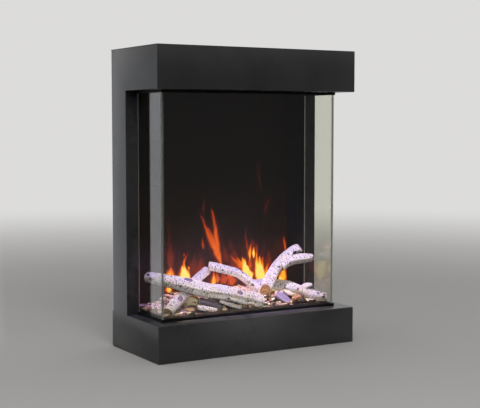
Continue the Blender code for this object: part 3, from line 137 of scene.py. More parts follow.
def unit(vectors: np.ndarray) -> np.ndarray:
    """Vectors, in the last axis, brought to a length of one."""
    return vectors / np.linalg.norm(vectors, axis=-1, keepdims=True)


def turned_about(axis: int, angle: np.ndarray) -> np.ndarray:
    """Turns about an axis.

    A matrix has 1 at the axis's own place. For the two axes that follow it in turn, its diagonal holds
    the cosine, with the sine below it and the negative sine above.

    Args:
        axis: the axis, from 0 to 2.
        angle: how far each turns, in radians.

    Returns:
        Three by three matrices, with the angles in the last axis of the array.
    """
    first, second = (axis + 1) % 3, (axis + 2) % 3
    turns = np.zeros((3, 3, len(angle)))
    turns[axis, axis] = 1.0
    turns[first, first] = turns[second, second] = np.cos(angle)
    turns[first, second], turns[second, first] = -np.sin(angle), np.sin(angle)
    return turns


# Meshes from arrays


def joined(*parts: np.ndarray | float) -> np.ndarray:
    """Arrays brought to one shape and stacked along a new last axis."""
    return np.stack(np.broadcast_arrays(*parts), axis=-1)


def cells(*corners: np.ndarray | int) -> np.ndarray:
    """Faces, from the point numbers of each corner in turn."""
    return joined(*corners).reshape(-1, len(corners))


def in_scene(name: str, data: bpy.types.ID) -> bpy.types.Object:
    """A new object at the origin, linked to the scene.

    Args:
        name: its name.
        data: its mesh, lamp or camera.

    Returns:
        The object.
    """
    made = bpy.data.objects.new(name, data)
    bpy.context.scene.collection.objects.link(made)
    return made


def smoothed(mesh: bpy.types.Mesh, crease: float) -> bpy.types.Object:
    """An object from a mesh, with smooth shading.

    Args:
        mesh: the mesh, whose name the object takes.
        crease: edges that turn by more than this many degrees stay sharp.

    Returns:
        The linked object.
    """
    mesh.shade_smooth()
    mesh.set_sharp_from_angle(angle=math.radians(crease))
    return in_scene(mesh.name, mesh)


@dataclass
class Surface:
    """A mesh as arrays: points, faces by number of sides, and values carried by the points."""

    points: np.ndarray
    faces: list[np.ndarray]
    values: dict[str, np.ndarray] = field(default_factory=dict)

    def plus(self, other: "Surface") -> "Surface":
        """Both surfaces in one, with the other's faces counted on from this one's points.

        Args:
            other: a surface with the same value names.

        Returns:
            The joined surface.
        """
        return Surface(
            np.vstack((self.points, other.points)),
            self.faces + [face + len(self.points) for face in other.faces],
            {name: np.concatenate((mine, other.values[name])) for name, mine in self.values.items()},
        )

    def outward(self) -> "Surface":
        """Turns every face of a closed surface round if its volume comes out below zero.

        The volume is the sum, over the faces, of a corner dotted with the cross of the next two, over six.

        Returns:
            The surface with its faces outward.
        """
        volume = 0.0
        for faces in self.faces:
            corner = self.points[faces]
            for side in range(1, faces.shape[1] - 1):
                turn = np.cross(corner[:, side], corner[:, side + 1])
                volume += float(np.einsum("ij,ij->", corner[:, 0], turn)) / 6
        if volume < 0:
            self.faces = [faces[:, ::-1] for faces in self.faces]
        return self

    def piece(self, name: str, crease: float = 40.0) -> bpy.types.Object:
        """Puts the arrays into a mesh object at the origin.

        Args:
            name: the piece's name.
            crease: edges that turn by more than this many degrees stay sharp.

        Returns:
            The linked object.
        """
        mesh = bpy.data.meshes.new(name)
        sides = np.concatenate([np.full(len(face), face.shape[1]) for face in self.faces])
        starts = np.concatenate(((0,), np.cumsum(sides)[:-1]))
        corners = np.concatenate([face.ravel() for face in self.faces])
        mesh.vertices.add(len(self.points))
        mesh.vertices.foreach_set("co", self.points.astype(np.float32).ravel())
        mesh.loops.add(len(corners))
        mesh.loops.foreach_set("vertex_index", corners.astype(np.int32))
        mesh.polygons.add(len(sides))
        mesh.polygons.foreach_set("loop_start", starts.astype(np.int32))
        mesh.update(calc_edges=True)
        for title, value in self.values.items():
            flat = value.ndim == 1
            layer = mesh.attributes.new(title, "FLOAT" if flat else "FLOAT_VECTOR", "POINT")
            layer.data.foreach_set("value" if flat else "vector", value.astype(np.float32).ravel())
        return smoothed(mesh, crease)


def sleeve_faces(rows: int, around: int) -> list[np.ndarray]:
    """Faces of a closed sleeve: quads between neighbouring rings, and a fan to a pole at either end.

    Args:
        rows: number of rings.
        around: points in a ring; the two poles come after all the rings.

    Returns:
        The quads, then the triangles.
    """
    ring = np.arange(around)
    turn = (ring + 1) % around
    row = np.arange(rows - 1)[:, None] * around
    pole, end = rows * around, (rows - 1) * around
    sides = cells(row + ring, row + turn, row + around + turn, row + around + ring)
    return [sides, np.vstack((cells(pole, turn, ring), cells(pole + 1, end + ring, end + turn)))]


def slab(low: Triple, high: Triple, thin: int, ease_by: float) -> Surface:
    """A flat pane whose edges are arrised.

    A rectangle is carried through the pane's thickness in six steps: its size is drawn in by the arris
    at both faces, along a quarter circle, and is full between them.

    Args:
        low: lowest corner.
        high: highest corner.
        thin: the axis across the thickness.
        ease_by: width of the arris.

    Returns:
        The pane, with "rim" 1 on the edges and 0 on the faces.
    """
    angle = np.linspace(0, math.pi / 2, 3)
    drawn, sunk = 1 - np.sin(angle), ease_by * (1 - np.cos(angle))
    inset = ease_by * np.concatenate((drawn, drawn[::-1]))[:, None]
    points = np.zeros((6, 4, 3))
    points[:, :, thin] = np.concatenate((low[thin] + sunk, high[thin] - sunk[::-1]))[:, None]
    for step, far in ((1, (0, 1, 1, 0)), (2, (0, 0, 1, 1))):
        axis = (thin + step) % 3
        points[:, :, axis] = np.where(far, high[axis] - inset, low[axis] + inset)
    ring = np.arange(4)
    turn = (ring + 1) % 4
    row = np.arange(5)[:, None] * 4
    sides = cells(row + ring, row + turn, row + 4 + turn, row + 4 + ring)
    rim = np.repeat((0.0, 1.0, 1.0, 1.0, 1.0, 0.0), 4)
    return Surface(points.reshape(-1, 3), [sides, np.array([ring[::-1], 20 + ring])], {"rim": rim})


def skirted(grid: np.ndarray, axis: int, level: float, values: dict[str, np.ndarray]) -> Surface:
    """A closed surface from a grid: a skirt drops from its edge to a level, where one face closes it.

    Args:
        grid: rows and columns of points.
        axis: the axis along which the skirt runs.
        level: where it ends.
        values: what each point of the grid carries.

    Returns:
        The closed surface.
    """
    def widened(array: np.ndarray) -> np.ndarray:
        """The array with its outermost rows and columns doubled."""
        return np.pad(array, ((1, 1), (1, 1)) + ((0, 0),) * (array.ndim - 2), mode="edge")

    grid = widened(grid)
    for edge in (grid[0], grid[-1], grid[:, 0], grid[:, -1]):
        edge[:, axis] = level
    tall, wide = grid.shape[:2]
    number = np.arange(tall * wide).reshape(tall, wide)
    faces = cells(number[:-1, :-1], number[:-1, 1:], number[1:, 1:], number[1:, :-1])
    loop = np.concatenate((number[0], number[1:, -1], number[-1, -2::-1], number[-2:0:-1, 0]))
    carried = {
        name: widened(value).reshape(tall * wide, *value.shape[2:]) for name, value in values.items()
    }
    return Surface(grid.reshape(-1, 3), [faces, loop[None, ::-1]], carried).outward()


def eased_copy(
    node: str, width: float, flat_turn: float = 0.5, sharp_turn: float = 30.0, crease: float = 35.0
) -> bpy.types.Object:
    """A welded copy of a packed sheet or moulding with its sharp edges rounded.

    Points at the same place become one, flat neighbours become one face, and every sharp edge is
    rounded in two steps.

    Args:
        node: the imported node.
        width: how far the rounding reaches from the edge.
        flat_turn: faces that turn by less than this many degrees are taken as one.
        sharp_turn: edges that turn by more than this many degrees are rounded.
        crease: edges of the copy that turn by more than this many degrees stay sharp.

    Returns:
        The copy.
    """
    source = frame["nodes"][node].data
    place = np.zeros(len(source.vertices) * 3, np.float32)
    source.vertices.foreach_get("co", place)
    place = place.reshape(-1, 3)
    corners = np.zeros(len(source.loops), np.int32)
    source.loops.foreach_get("vertex_index", corners)
    _, first, same = np.unique(np.round(place, 6), axis=0, return_index=True, return_inverse=True)
    mesh = bpy.data.meshes.new(f"{node}_eased")
    mesh.from_pydata(place[first].tolist(), [], same.ravel()[corners].reshape(-1, 3).tolist())
    shape = bmesh.new()
    shape.from_mesh(mesh)
    flat = math.radians(flat_turn)
    bmesh.ops.dissolve_limit(shape, angle_limit=flat, verts=shape.verts[:], edges=shape.edges[:])
    limit = math.radians(sharp_turn)
    sharp = [edge for edge in shape.edges if edge.is_manifold and edge.calc_face_angle(0.0) > limit]
    bmesh.ops.bevel(
        shape, geom=sharp, offset=width, segments=2, profile=0.5, affect="EDGES", clamp_overlap=True,
    )
    bmesh.ops.triangulate(shape, faces=shape.faces[:])
    shape.to_mesh(mesh)
    shape.free()
    return smoothed(mesh, crease)


# Shader trees


@dataclass
class Tree:
    """Puts nodes in one shader tree and joins them."""

    nodes: bpy.types.Nodes
    links: bpy.types.NodeLinks

    def add(self, kind: str, feeds: Feeds | None = None, **options: object) -> bpy.types.Node:
        """Adds a node.

        Args:
            kind: the node's Blender name.
            feeds: what goes into its inputs.
            options: its own settings.

        Returns:
            The node.
        """
        node = self.nodes.new(kind)
        for option, value in options.items():
            setattr(node, option, value)
        self.fill(node, feeds or {})
        return node

    def fill(self, node: bpy.types.Node, feeds: Feeds) -> None:
        """Links a node's inputs to outputs, or sets their values.

        Args:
            node: the node.
            feeds: an output or a value for each input.
        """
        for name, feed in feeds.items():
            if isinstance(feed, Socket):
                self.links.new(feed, node.inputs[name])
            else:
                node.inputs[name].default_value = feed

    def math(self, operation: str, first: Feed, second: Feed = 0.0, third: Feed = 0.0) -> Socket:
        """One sum on numbers."""
        return self.add("ShaderNodeMath", {0: first, 1: second, 2: third}, operation=operation).outputs[0]

    def times(self, first: Feed, second: Feed) -> Socket:
        """A product."""
        return self.math("MULTIPLY", first, second)

    def times_plus(self, first: Feed, second: Feed, third: Feed) -> Socket:
        """A product, and a third number added."""
        return self.math("MULTIPLY_ADD", first, second, third)

    def most(self, first: Feed, second: Feed) -> Socket:
        """The larger of two."""
        return self.math("MAXIMUM", first, second)

    def vector(self, operation: str, first: Feed, second: Feed = (0.0, 0.0, 0.0)) -> Socket:
        """One sum on vectors; a length or a dot product gives a number."""
        outputs = self.add("ShaderNodeVectorMath", {0: first, 1: second}, operation=operation).outputs
        return outputs["Value" if operation in ("LENGTH", "DOT_PRODUCT") else "Vector"]

    def axis(self, place: Feed, name: str) -> Socket:
        """One axis of a place or a direction."""
        return self.add("ShaderNodeSeparateXYZ", {0: place}).outputs[name]

    def span(self, value: Feed, low: Feed, high: Feed, out_low: Feed = 0.0, out_high: Feed = 1.0) -> Socket:
        """A value's eased place between two limits, spread between two others."""
        feeds = {"Value": value, "From Min": low, "From Max": high, "To Min": out_low, "To Max": out_high}
        return self.add("ShaderNodeMapRange", feeds, interpolation_type="SMOOTHSTEP").outputs["Result"]

    def mix(self, share: Feed, first: Feed, second: Feed, blend: str = "MIX") -> Socket:
        """A mix of two colours."""
        feeds = {0: share, 6: first, 7: second}
        return self.add("ShaderNodeMix", feeds, data_type="RGBA", blend_type=blend).outputs[2]

    def ramp(self, share: Feed, stops: dict[float, Colour]) -> Socket:
        """A colour from a row of stops.

        Args:
            share: where along the row.
            stops: colour at each place.

        Returns:
            The colour.
        """
        node = self.add("ShaderNodeValToRGB", {"Fac": share})
        band = node.color_ramp
        places = sorted(stops)
        band.elements[0].position, band.elements[-1].position = places[0], places[-1]
        for place in places[1:-1]:
            band.elements.new(place)
        for element, place in zip(band.elements, places):
            element.color = stops[place]
        return node.outputs["Color"]

    def noise(self, place: Feed, scale: Feed, detail: float = 3.0, roughness: float = 0.5) -> Socket:
        """Noise from 0 to 1, with a scale in repeats a metre."""
        feeds = {"Vector": place, "Scale": scale, "Detail": detail, "Roughness": roughness}
        return self.add("ShaderNodeTexNoise", feeds).outputs["Fac"]

    def grain(
        self, place: Feed, scale: Triple, detail: float, roughness: float = 0.5, shift: Triple = (0, 0, 0)
    ) -> Socket:
        """Noise with its own scale along each axis, and moved along them by a shift."""
        feeds = {"Vector": place, "Scale": scale, "Location": shift}
        return self.noise(self.add("ShaderNodeMapping", feeds).outputs[0], 1.0, detail, roughness)

    def place(self) -> Socket:
        """The point's place on its object."""
        return self.add("ShaderNodeTexCoord").outputs["Object"]

    def attribute(self, name: str, kind: str = "Fac") -> Socket:
        """A value that the mesh carries."""
        return self.add("ShaderNodeAttribute", attribute_name=name).outputs[kind]

    def bump(self, height: Feed, depth: float, strength: float = 1.0) -> Socket:
        """A normal from a height of 0 to 1, as deep as given in metres."""
        feeds = {"Height": height, "Distance": depth, "Strength": strength}
        return self.add("ShaderNodeBump", feeds).outputs[0]

    def group(self, tree: bpy.types.NodeTree, feeds: Feeds) -> bpy.types.NodeOutputs:
        """Places a shared group, and gives its outputs."""
        return self.add("ShaderNodeGroup", feeds, node_tree=tree).outputs


class Kind(Enum):
    """Kinds of socket on a shared group."""

    NUMBER = "NodeSocketFloat"
    VECTOR = "NodeSocketVector"


def open_group(
    name: str, numbers: dict[str, float], outputs: tuple[str, ...]
) -> tuple[Tree, bpy.types.NodeOutputs, bpy.types.Node]:
    """Starts a shader group that takes a place and some numbers, and gives numbers.

    Args:
        name: the group's name.
        numbers: usual value of each number that it takes.
        outputs: names of the numbers that it gives.

    Returns:
        The tree, what comes into it, and its output node.
    """
    made = bpy.data.node_groups.new(name, "ShaderNodeTree")
    made.interface.new_socket("Place", in_out="INPUT", socket_type=Kind.VECTOR.value)
    for title, usual in numbers.items():
        socket = made.interface.new_socket(title, in_out="INPUT", socket_type=Kind.NUMBER.value)
        socket.default_value = usual
    for title in outputs:
        made.interface.new_socket(title, in_out="OUTPUT", socket_type=Kind.NUMBER.value)
    tree = Tree(made.nodes, made.links)
    return tree, tree.add("NodeGroupInput").outputs, tree.add("NodeGroupOutput")


@cache
def orange_peel() -> bpy.types.NodeTree:
    """The fine dimples and slow waves of sprayed or baked paint, as a height and a change of gloss.

    Returns:
        The group.
    """
    tree, given, end = open_group("orange_peel", {"Fineness": 900.0, "Gloss": 0.4}, ("Height", "Roughness"))
    place = given["Place"]
    fine, slow = tree.noise(place, given["Fineness"], 2.0), tree.noise(place, 38.0)
    drift = tree.times_plus(tree.noise(place, 6.0, 5.0, 0.6), 0.20, -0.10)
    speck = tree.times_plus(fine, 0.08, -0.04)
    tree.fill(end, {
        "Height": tree.times_plus(slow, 0.5, fine),
        "Roughness": tree.math("ADD", given["Gloss"], tree.math("ADD", drift, speck)),
    })
    return end.id_data


@cache
def settled_dust() -> bpy.types.NodeTree:
    """A mask of the thin dust on faces that look up, patchy and flecked with fine specks.

    Returns:
        The group.
    """
    tree, given, end = open_group("settled_dust", {"Amount": 0.3}, ("Mask",))
    normal = tree.add("ShaderNodeNewGeometry").outputs["Normal"]
    facing = tree.span(tree.axis(normal, "Z"), 0.35, 0.95)
    patches = tree.span(tree.noise(given["Place"], 26.0, 6.0, 0.65), 0.35, 0.75)
    specks = tree.span(tree.noise(given["Place"], 620.0, 2.0), 0.62, 0.78)
    tree.fill(end, {"Mask": tree.times(tree.most(patches, specks), tree.times(facing, given["Amount"]))})
    return end.id_data


@cache
def wood_streaks() -> bpy.types.NodeTree:
    """Fibres that run along the third axis of a place: fine dark lines, wide bands and cracks.

    Returns:
        The group.
    """
    tree, given, end = open_group(
        "wood_streaks", {"Across": 420.0, "Along": 26.0}, ("Fibre", "Band", "Crack"))
    across, along = given["Across"], given["Along"]
    scale = tree.add("ShaderNodeCombineXYZ", {0: across, 1: across, 2: along}).outputs[0]
    drawn = tree.vector("MULTIPLY", given["Place"], scale)
    gap = tree.math("ABSOLUTE", tree.math("SUBTRACT", tree.noise(drawn, 0.30, 2.0), 0.5))
    tree.fill(end, {
        "Fibre": tree.noise(drawn, 1.0, 4.0, 0.65),
        "Band": tree.noise(drawn, 0.18, 3.0, 0.55),
        "Crack": tree.span(gap, 0.0, 0.028, 1.0, 0.0),
    })
    return end.id_data


# Finishes

BLACK: Colour = (0, 0, 0, 1)
FIRE: dict[float, Colour] = {
    0.0: BLACK, 0.07: (0.020, 0.0014, 0.0003, 1), 0.18: (0.12, 0.009, 0.001, 1),
    0.34: (0.44, 0.040, 0.001, 1), 0.52: (0.80, 0.125, 0.002, 1), 0.68: (0.98, 0.28, 0.005, 1),
    0.84: (1.0, 0.55, 0.020, 1), 1.0: (1.0, 0.84, 0.20, 1),
}
CHIP_TONES: dict[float, Colour] = {
    0.0: paint(36, 27, 25), 0.16: paint(86, 61, 52), 0.30: paint(146, 108, 84),
    0.46: paint(126, 112, 124), 0.60: paint(200, 164, 126), 0.78: paint(228, 206, 172),
    1.0: paint(240, 228, 210),
}


class Slot(Enum):
    """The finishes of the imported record."""

    POWDER_COAT = "black_powder_coat"
    LINER = "matt_black_liner"
    GLASS = "clear_glass"
    SCREEN = "smoked_screen"
    SEAL = "clear_seal"
    BIRCH = "birch_bark"
    DRIFTWOOD = "grey_driftwood"
    TAN_BARK = "tan_bark"
    BROWN_BARK = "brown_bark"
    CHIPS = "bark_chips"
    GALVANISED = "galvanised_steel"
    BRIGHT_STEEL = "bright_steel"
    BLACK_PLASTIC = "black_plastic"
    GREY_PLASTIC = "grey_plastic"
    BOARD = "circuit_board"
    LENS = "white_lens"
    CERAMIC = "heater_ceramic"
    WINDOW = "dark_window"
    RUBBER = "black_rubber"


@dataclass(frozen=True)
class Finish:
    """A finish: its plain numbers, and the nodes that vary them over the surface."""

    def make(self, name: str) -> bpy.types.Material:
        """Builds the material.

        Args:
            name: the material's name.

        Returns:
            The material.
        """
        material = bpy.data.materials.new(name)
        material.use_nodes = True
        tree = Tree(material.node_tree.nodes, material.node_tree.links)
        tree.nodes.clear()
        shader = tree.add("ShaderNodeBsdfPrincipled", self.feeds(tree))
        tree.add("ShaderNodeOutputMaterial", {"Surface": shader.outputs[0]})
        return material

    def feeds(self, tree: Tree) -> Feeds:
        """What goes into the shader; each finish has its own way."""
        raise NotImplementedError


@dataclass(frozen=True)
class Paint(Finish):
    """Baked or sprayed paint on sheet metal, with orange peel, slow changes of gloss and a little dust."""

    colour: Colour = paint(37, 37, 38)
    haze: Colour = paint(43, 43, 45)
    dust: Colour = paint(150, 146, 140)
    gloss: float = 0.29
    fineness: float = 900.0
    depth: float = 0.00006
    dust_amount: float = 0.10
    specular: float = 0.5

    def feeds(self, tree: Tree) -> Feeds:
        """Colour, gloss and relief of the paint.

        Args:
            tree: the shader tree.

        Returns:
            What goes into each of the shader's inputs.
        """
        place = tree.place()
        peel = tree.group(orange_peel(), {"Place": place, "Fineness": self.fineness, "Gloss": self.gloss})
        dust = tree.group(settled_dust(), {"Place": place, "Amount": self.dust_amount})["Mask"]
        body = tree.mix(tree.span(tree.noise(place, 11.0, 5.0, 0.6), 0.35, 0.7), self.colour, self.haze)
        return {
            "Base Color": tree.mix(dust, body, self.dust),
            "Roughness": tree.times_plus(dust, 0.35, peel["Roughness"]),
            "Normal": tree.bump(peel["Height"], self.depth),
            "Specular IOR Level": self.specular,
        }


@dataclass(frozen=True)
class Glass(Finish):
    """Clear toughened glass, green at its edges, which lets light through to what stands behind it.

    The ground rims glow with painted light, more so to the right, standing in for the room's light that they
    catch.
    """

    face: Colour = (0.935, 0.935, 0.875, 1)
    streak: Colour = (0.915, 0.92, 0.85, 1)
    edge: Colour = (0.80, 0.90, 0.84, 1)
    shade: float = 0.10
    # colour of the painted glow on the rims
    painted_rim_glow: Colour = (0.085, 0.092, 0.080, 1)
    ground: float = 0.6
    specular: float = 0.28
    ends: Pair = (-0.22, 0.22)

    def feeds(self, tree: Tree) -> Feeds:
        """The tint, the painted glow on the rims, and the way through for shadow rays.

        Args:
            tree: the shader tree.

        Returns:
            What goes into each of the shader's inputs.
        """
        rim, place = tree.attribute("rim"), tree.place()
        face = tree.mix(tree.times(tree.noise(place, 9.0, 4.0), 0.35), self.face, self.streak)
        smooth = tree.span(tree.noise(place, 34.0, 5.0, 0.6), 0.45, 0.8, 0.0, 0.012)
        # the painted glow on the rims grows towards the right, standing in for caught light
        side = tree.span(tree.axis(place, "X"), *self.ends, 0.25, 1.0)
        shadow = tree.add("ShaderNodeLightPath").outputs["Is Shadow Ray"]
        return {
            "Base Color": tree.mix(rim, face, self.edge),
            "Roughness": tree.times_plus(rim, self.ground, smooth),
            "Emission Color": tree.mix(tree.times(rim, side), BLACK, self.painted_rim_glow),
            "Emission Strength": 1.0,
            "IOR": 1.5,
            "Specular IOR Level": self.specular,
            "Transmission Weight": 1.0,
            "Alpha": tree.times_plus(shadow, self.shade - 1.0, 1.0),
        }


@dataclass(frozen=True)
class Seal(Finish):
    """A clear silicone seal, slightly milky."""

    def feeds(self, tree: Tree) -> Feeds:
        """A cloudy tint and a soft gloss.

        Args:
            tree: the shader tree.

        Returns:
            What goes into each of the shader's inputs.
        """
        cloud = tree.noise(tree.place(), 160.0)
        return {
            "Base Color": tree.mix(cloud, (0.24, 0.27, 0.25, 1), (0.32, 0.36, 0.33, 1)),
            "Roughness": tree.span(cloud, 0.3, 0.7, 0.30, 0.42),
            "Transmission Weight": 0.35,
            "Alpha": 0.20,
        }


@dataclass(frozen=True)
class FlameScreen(Finish):
    """A dark satin screen on which flames glow, over a dull red warmth at its foot.

    "burn" is the heat of the flames at each point, from 0 to 1.
    """

    body: Colour = paint(11, 9, 7)
    satin: Colour = paint(13, 12, 11)
    haze: Colour = (0.085, 0.0085, 0.0028, 1)
    cool: Colour = (0.0014, 0.0008, 0.0004, 1)
    warm: Colour = (0.015, 0.0050, 0.0030, 1)
    strength: float = 1.05

    def feeds(self, tree: Tree) -> Feeds:
        """The dark panel, the flames and the warmth below them.

        Args:
            tree: the shader tree.

        Returns:
            What goes into each of the shader's inputs.
        """
        place = tree.place()
        across, up = tree.axis(place, "X"), tree.axis(place, "Z")
        licks = tree.grain(place, (230.0, 1.0, 48.0), 3.0, 0.6)
        heat = tree.times(tree.attribute("burn"), tree.span(licks, 0.25, 0.7, 0.84, 1.06))
        mist = tree.span(tree.grain(place, (13.0, 1.0, 13.0), 5.0, 0.6), 0.3, 0.75, 0.35, 1.0)
        warmth = tree.mix(tree.times(tree.span(up, 0.10, 0.45, 1.0, 0.0), mist), self.cool, self.warm)
        streaks = tree.grain(place, (75.0, 1.0, 20.0), 5.0, 0.6, (2, 0, 1))
        foot = tree.times(tree.span(up, 0.150, 0.262, 1.0, 0.0), tree.span(across, -0.165, -0.125))
        foot = tree.times(foot, tree.span(streaks, 0.36, 0.70, 0.10, 1.0))
        warmth = tree.mix(1.0, warmth, tree.mix(foot, BLACK, self.haze), "ADD")
        return {
            "Base Color": tree.mix(tree.noise(place, 300.0, 2.0), self.body, self.satin),
            "Roughness": tree.span(tree.noise(place, 18.0, 4.0), 0.3, 0.7, 0.36, 0.5),
            "Emission Color": tree.mix(1.0, tree.ramp(heat, FIRE), warmth, "ADD"),
            "Emission Strength": self.strength,
            "Specular IOR Level": 0.15,
        }


@dataclass(frozen=True)
class BirchBark(Finish):
    """White birch bark: cream where the paper peels, dark dashes round the log, knots, and sawn ends.

    "unrolled" is a place on a log made straight, with its length along the third axis.
    """

    white: Colour = paint(216, 210, 208)
    cream: Colour = paint(212, 198, 172)
    grey: Colour = paint(146, 139, 146)
    bloom: Colour = paint(160, 152, 172)
    dark: Colour = paint(34, 26, 33)
    heart: Colour = paint(70, 60, 78)
    wood: Colour = paint(190, 150, 108)
    ring: Colour = paint(104, 70, 46)
    brown: Colour = paint(78, 48, 34)
    # painted shade in the cracks of the sawn ends
    split: Colour = paint(70, 44, 30)

    def feeds(self, tree: Tree) -> Feeds:
        """Paper, dashes and knots on the side, and sawn wood at the ends.

        Args:
            tree: the shader tree.

        Returns:
            What goes into each of the shader's inputs.
        """
        place = tree.attribute("unrolled", "Vector")
        knot = tree.attribute("knot")
        patches = tree.span(tree.grain(place, (34.0, 34.0, 46.0), 4.0, 0.6), 0.44, 0.66)
        smudge = tree.span(tree.grain(place, (60.0, 60.0, 110.0), 5.0, 0.7, (3, 1, 2)), 0.52, 0.78)
        mottle = tree.grain(place, (260.0, 260.0, 380.0), 4.0, 0.65, (4, 4, 9))
        paper = tree.mix(tree.times(patches, 0.8), self.white, self.cream)
        paper = tree.mix(tree.times(smudge, 0.80), paper, self.grey)
        paper = tree.mix(tree.span(mottle, 0.38, 0.68, 0.0, 0.85), paper, self.bloom)
        long_dash = tree.span(tree.grain(place, (95.0, 95.0, 360.0), 1.0), 0.632, 0.662)
        short_dash = tree.span(tree.grain(place, (240.0, 240.0, 520.0), 1.0, shift=(5, 7, 1)), 0.635, 0.665)
        flecks = tree.grain(place, (430.0, 430.0, 640.0), 1.0, shift=(8, 2, 6))
        dashes = tree.most(tree.most(long_dash, short_dash), tree.span(flecks, 0.66, 0.69, 0.0, 0.85))
        marks = tree.most(tree.times(dashes, 0.9), tree.span(knot, 0.25, 0.45))
        bark = tree.mix(marks, paper, self.dark)
        bark = tree.mix(tree.times(tree.span(knot, 0.72, 0.95), 0.6), bark, self.heart)
        fine = tree.grain(place, (300.0, 300.0, 950.0), 4.0, 0.6)
        height = tree.times_plus(marks, -0.9, tree.times_plus(patches, -0.5, fine))
        sawn = tree.span(tree.attribute("sawn"), 0.35, 0.65)
        return {
            "Base Color": tree.mix(sawn, bark, self.end(tree, place)),
            "Roughness": tree.span(patches, 0.0, 1.0, 0.58, 0.82),
            "Normal": tree.bump(height, 0.0007, 0.8),
            "Specular IOR Level": 0.3,
        }

    def end(self, tree: Tree, place: Socket) -> Socket:
        """The sawn end: rings about the middle, a brown rim, stains, and cracks darkened with painted shade.

        Args:
            tree: the shader tree.
            place: the place on the straightened log.

        Returns:
            The colour.
        """
        radius = tree.vector("LENGTH", tree.vector("MULTIPLY", place, (1.0, 1.0, 0.0)))
        wobble = tree.times_plus(tree.noise(place, 110.0, 2.0), 0.003, radius)
        rings = tree.math("SINE", tree.times(wobble, 3600.0))
        blotch = tree.span(tree.noise(place, 170.0, 4.0, 0.65), 0.46, 0.58, 0.0, 0.8)
        rim = tree.span(wobble, 0.0075, 0.0105, 0.0, 0.55)
        # cracks in the sawn end, darkened with painted shade
        check = tree.span(tree.grain(place, (500.0, 90.0, 60.0), 2.0), 0.60, 0.70)
        wood = tree.mix(tree.span(rings, -0.6, 1.0), self.wood, self.ring)
        wood = tree.mix(tree.most(blotch, rim), wood, self.brown)
        return tree.mix(tree.times(check, 0.8), wood, self.split)


@dataclass(frozen=True)
class DryWood(Finish):
    """Weathered wood or bark: streaks along the grain, cracks darkened with painted shade, and lighter
    broken ends.
    """

    light: Colour = paint(108, 98, 116)
    dark: Colour = paint(50, 43, 55)
    # painted shade in the cracks
    deep: Colour = paint(22, 18, 22)
    sawn: Colour = paint(150, 122, 92)
    across: float = 420.0
    relief: float = 0.0012

    def feeds(self, tree: Tree) -> Feeds:
        """Streaks, cracks darkened with painted shade, and broken ends.

        Args:
            tree: the shader tree.

        Returns:
            What goes into each of the shader's inputs.
        """
        place = tree.attribute("unrolled", "Vector")
        streaks = tree.group(wood_streaks(), {"Place": place, "Across": self.across, "Along": 28.0})
        fibre, crack = streaks["Fibre"], streaks["Crack"]
        share = tree.times_plus(tree.span(streaks["Band"], 0.3, 0.7), 0.6, tree.times(fibre, 0.5))
        # the cracks take the painted shade colour
        side = tree.mix(tree.times(crack, 0.85), tree.mix(share, self.dark, self.light), self.deep)
        end = tree.mix(tree.span(fibre, 0.35, 0.7), self.sawn, self.dark)
        cut = tree.span(tree.attribute("sawn"), 0.3, 0.7)
        return {
            "Base Color": tree.mix(tree.times(cut, 0.8), side, end),
            "Roughness": tree.span(fibre, 0.2, 0.8, 0.72, 0.95),
            "Normal": tree.bump(tree.times_plus(crack, -0.8, fibre), self.relief),
            "Specular IOR Level": 0.25,
        }


@dataclass(frozen=True)
class BarkChips(Finish):
    """Loose chips of many browns.

    Each chip carries a tone, and its own place with its length along the third axis.
    """

    shadow: Colour = paint(48, 36, 32)
    # painted shade in the cracks
    deep: Colour = paint(30, 22, 20)

    def feeds(self, tree: Tree) -> Feeds:
        """Each chip's tone, its streaks, and its cracks darkened with painted shade.

        Args:
            tree: the shader tree.

        Returns:
            What goes into each of the shader's inputs.
        """
        place = tree.attribute("unrolled", "Vector")
        streaks = tree.group(wood_streaks(), {"Place": place, "Across": 520.0, "Along": 60.0})
        fibre = streaks["Fibre"]
        tone = tree.ramp(tree.attribute("tone"), CHIP_TONES)
        varied = tree.mix(tree.span(fibre, 0.25, 0.70, 0.45, 0.0), tone, self.shadow)
        return {
            # the cracks are darkened with painted shade
            "Base Color": tree.mix(tree.times(streaks["Crack"], 0.5), varied, self.deep),
            "Roughness": tree.span(fibre, 0.2, 0.8, 0.7, 0.95),
            "Normal": tree.bump(fibre, 0.0009),
            "Specular IOR Level": 0.25,
        }


@dataclass(frozen=True)
class Steel(Finish):
    """Bare steel sheet with rolling lines, and spangles where it is galvanised."""

    light: Colour = (0.60, 0.61, 0.63, 1)
    dark: Colour = (0.42, 0.43, 0.45, 1)
    spangle: float = 1.0
    gloss: float = 0.34

    def feeds(self, tree: Tree) -> Feeds:
        """Spangles, rolling lines and smudges.

        Args:
            tree: the shader tree.

        Returns:
            What goes into each of the shader's inputs.
        """
        place = tree.place()
        cell = tree.add("ShaderNodeTexVoronoi", {"Vector": place, "Scale": 130.0}).outputs["Color"]
        lines = tree.grain(place, (24.0, 1600.0, 1600.0), 2.0)
        grey = tree.add("ShaderNodeSeparateColor", {0: cell}).outputs[0]
        share = tree.times_plus(tree.math("SUBTRACT", grey, 0.5), self.spangle * 0.7, lines)
        return {
            "Base Color": tree.mix(share, self.dark, self.light),
            "Roughness": tree.span(lines, 0.25, 0.75, self.gloss - 0.07, self.gloss + 0.12),
            "Normal": tree.bump(lines, 0.00003),
            "Metallic": 1.0,
        }


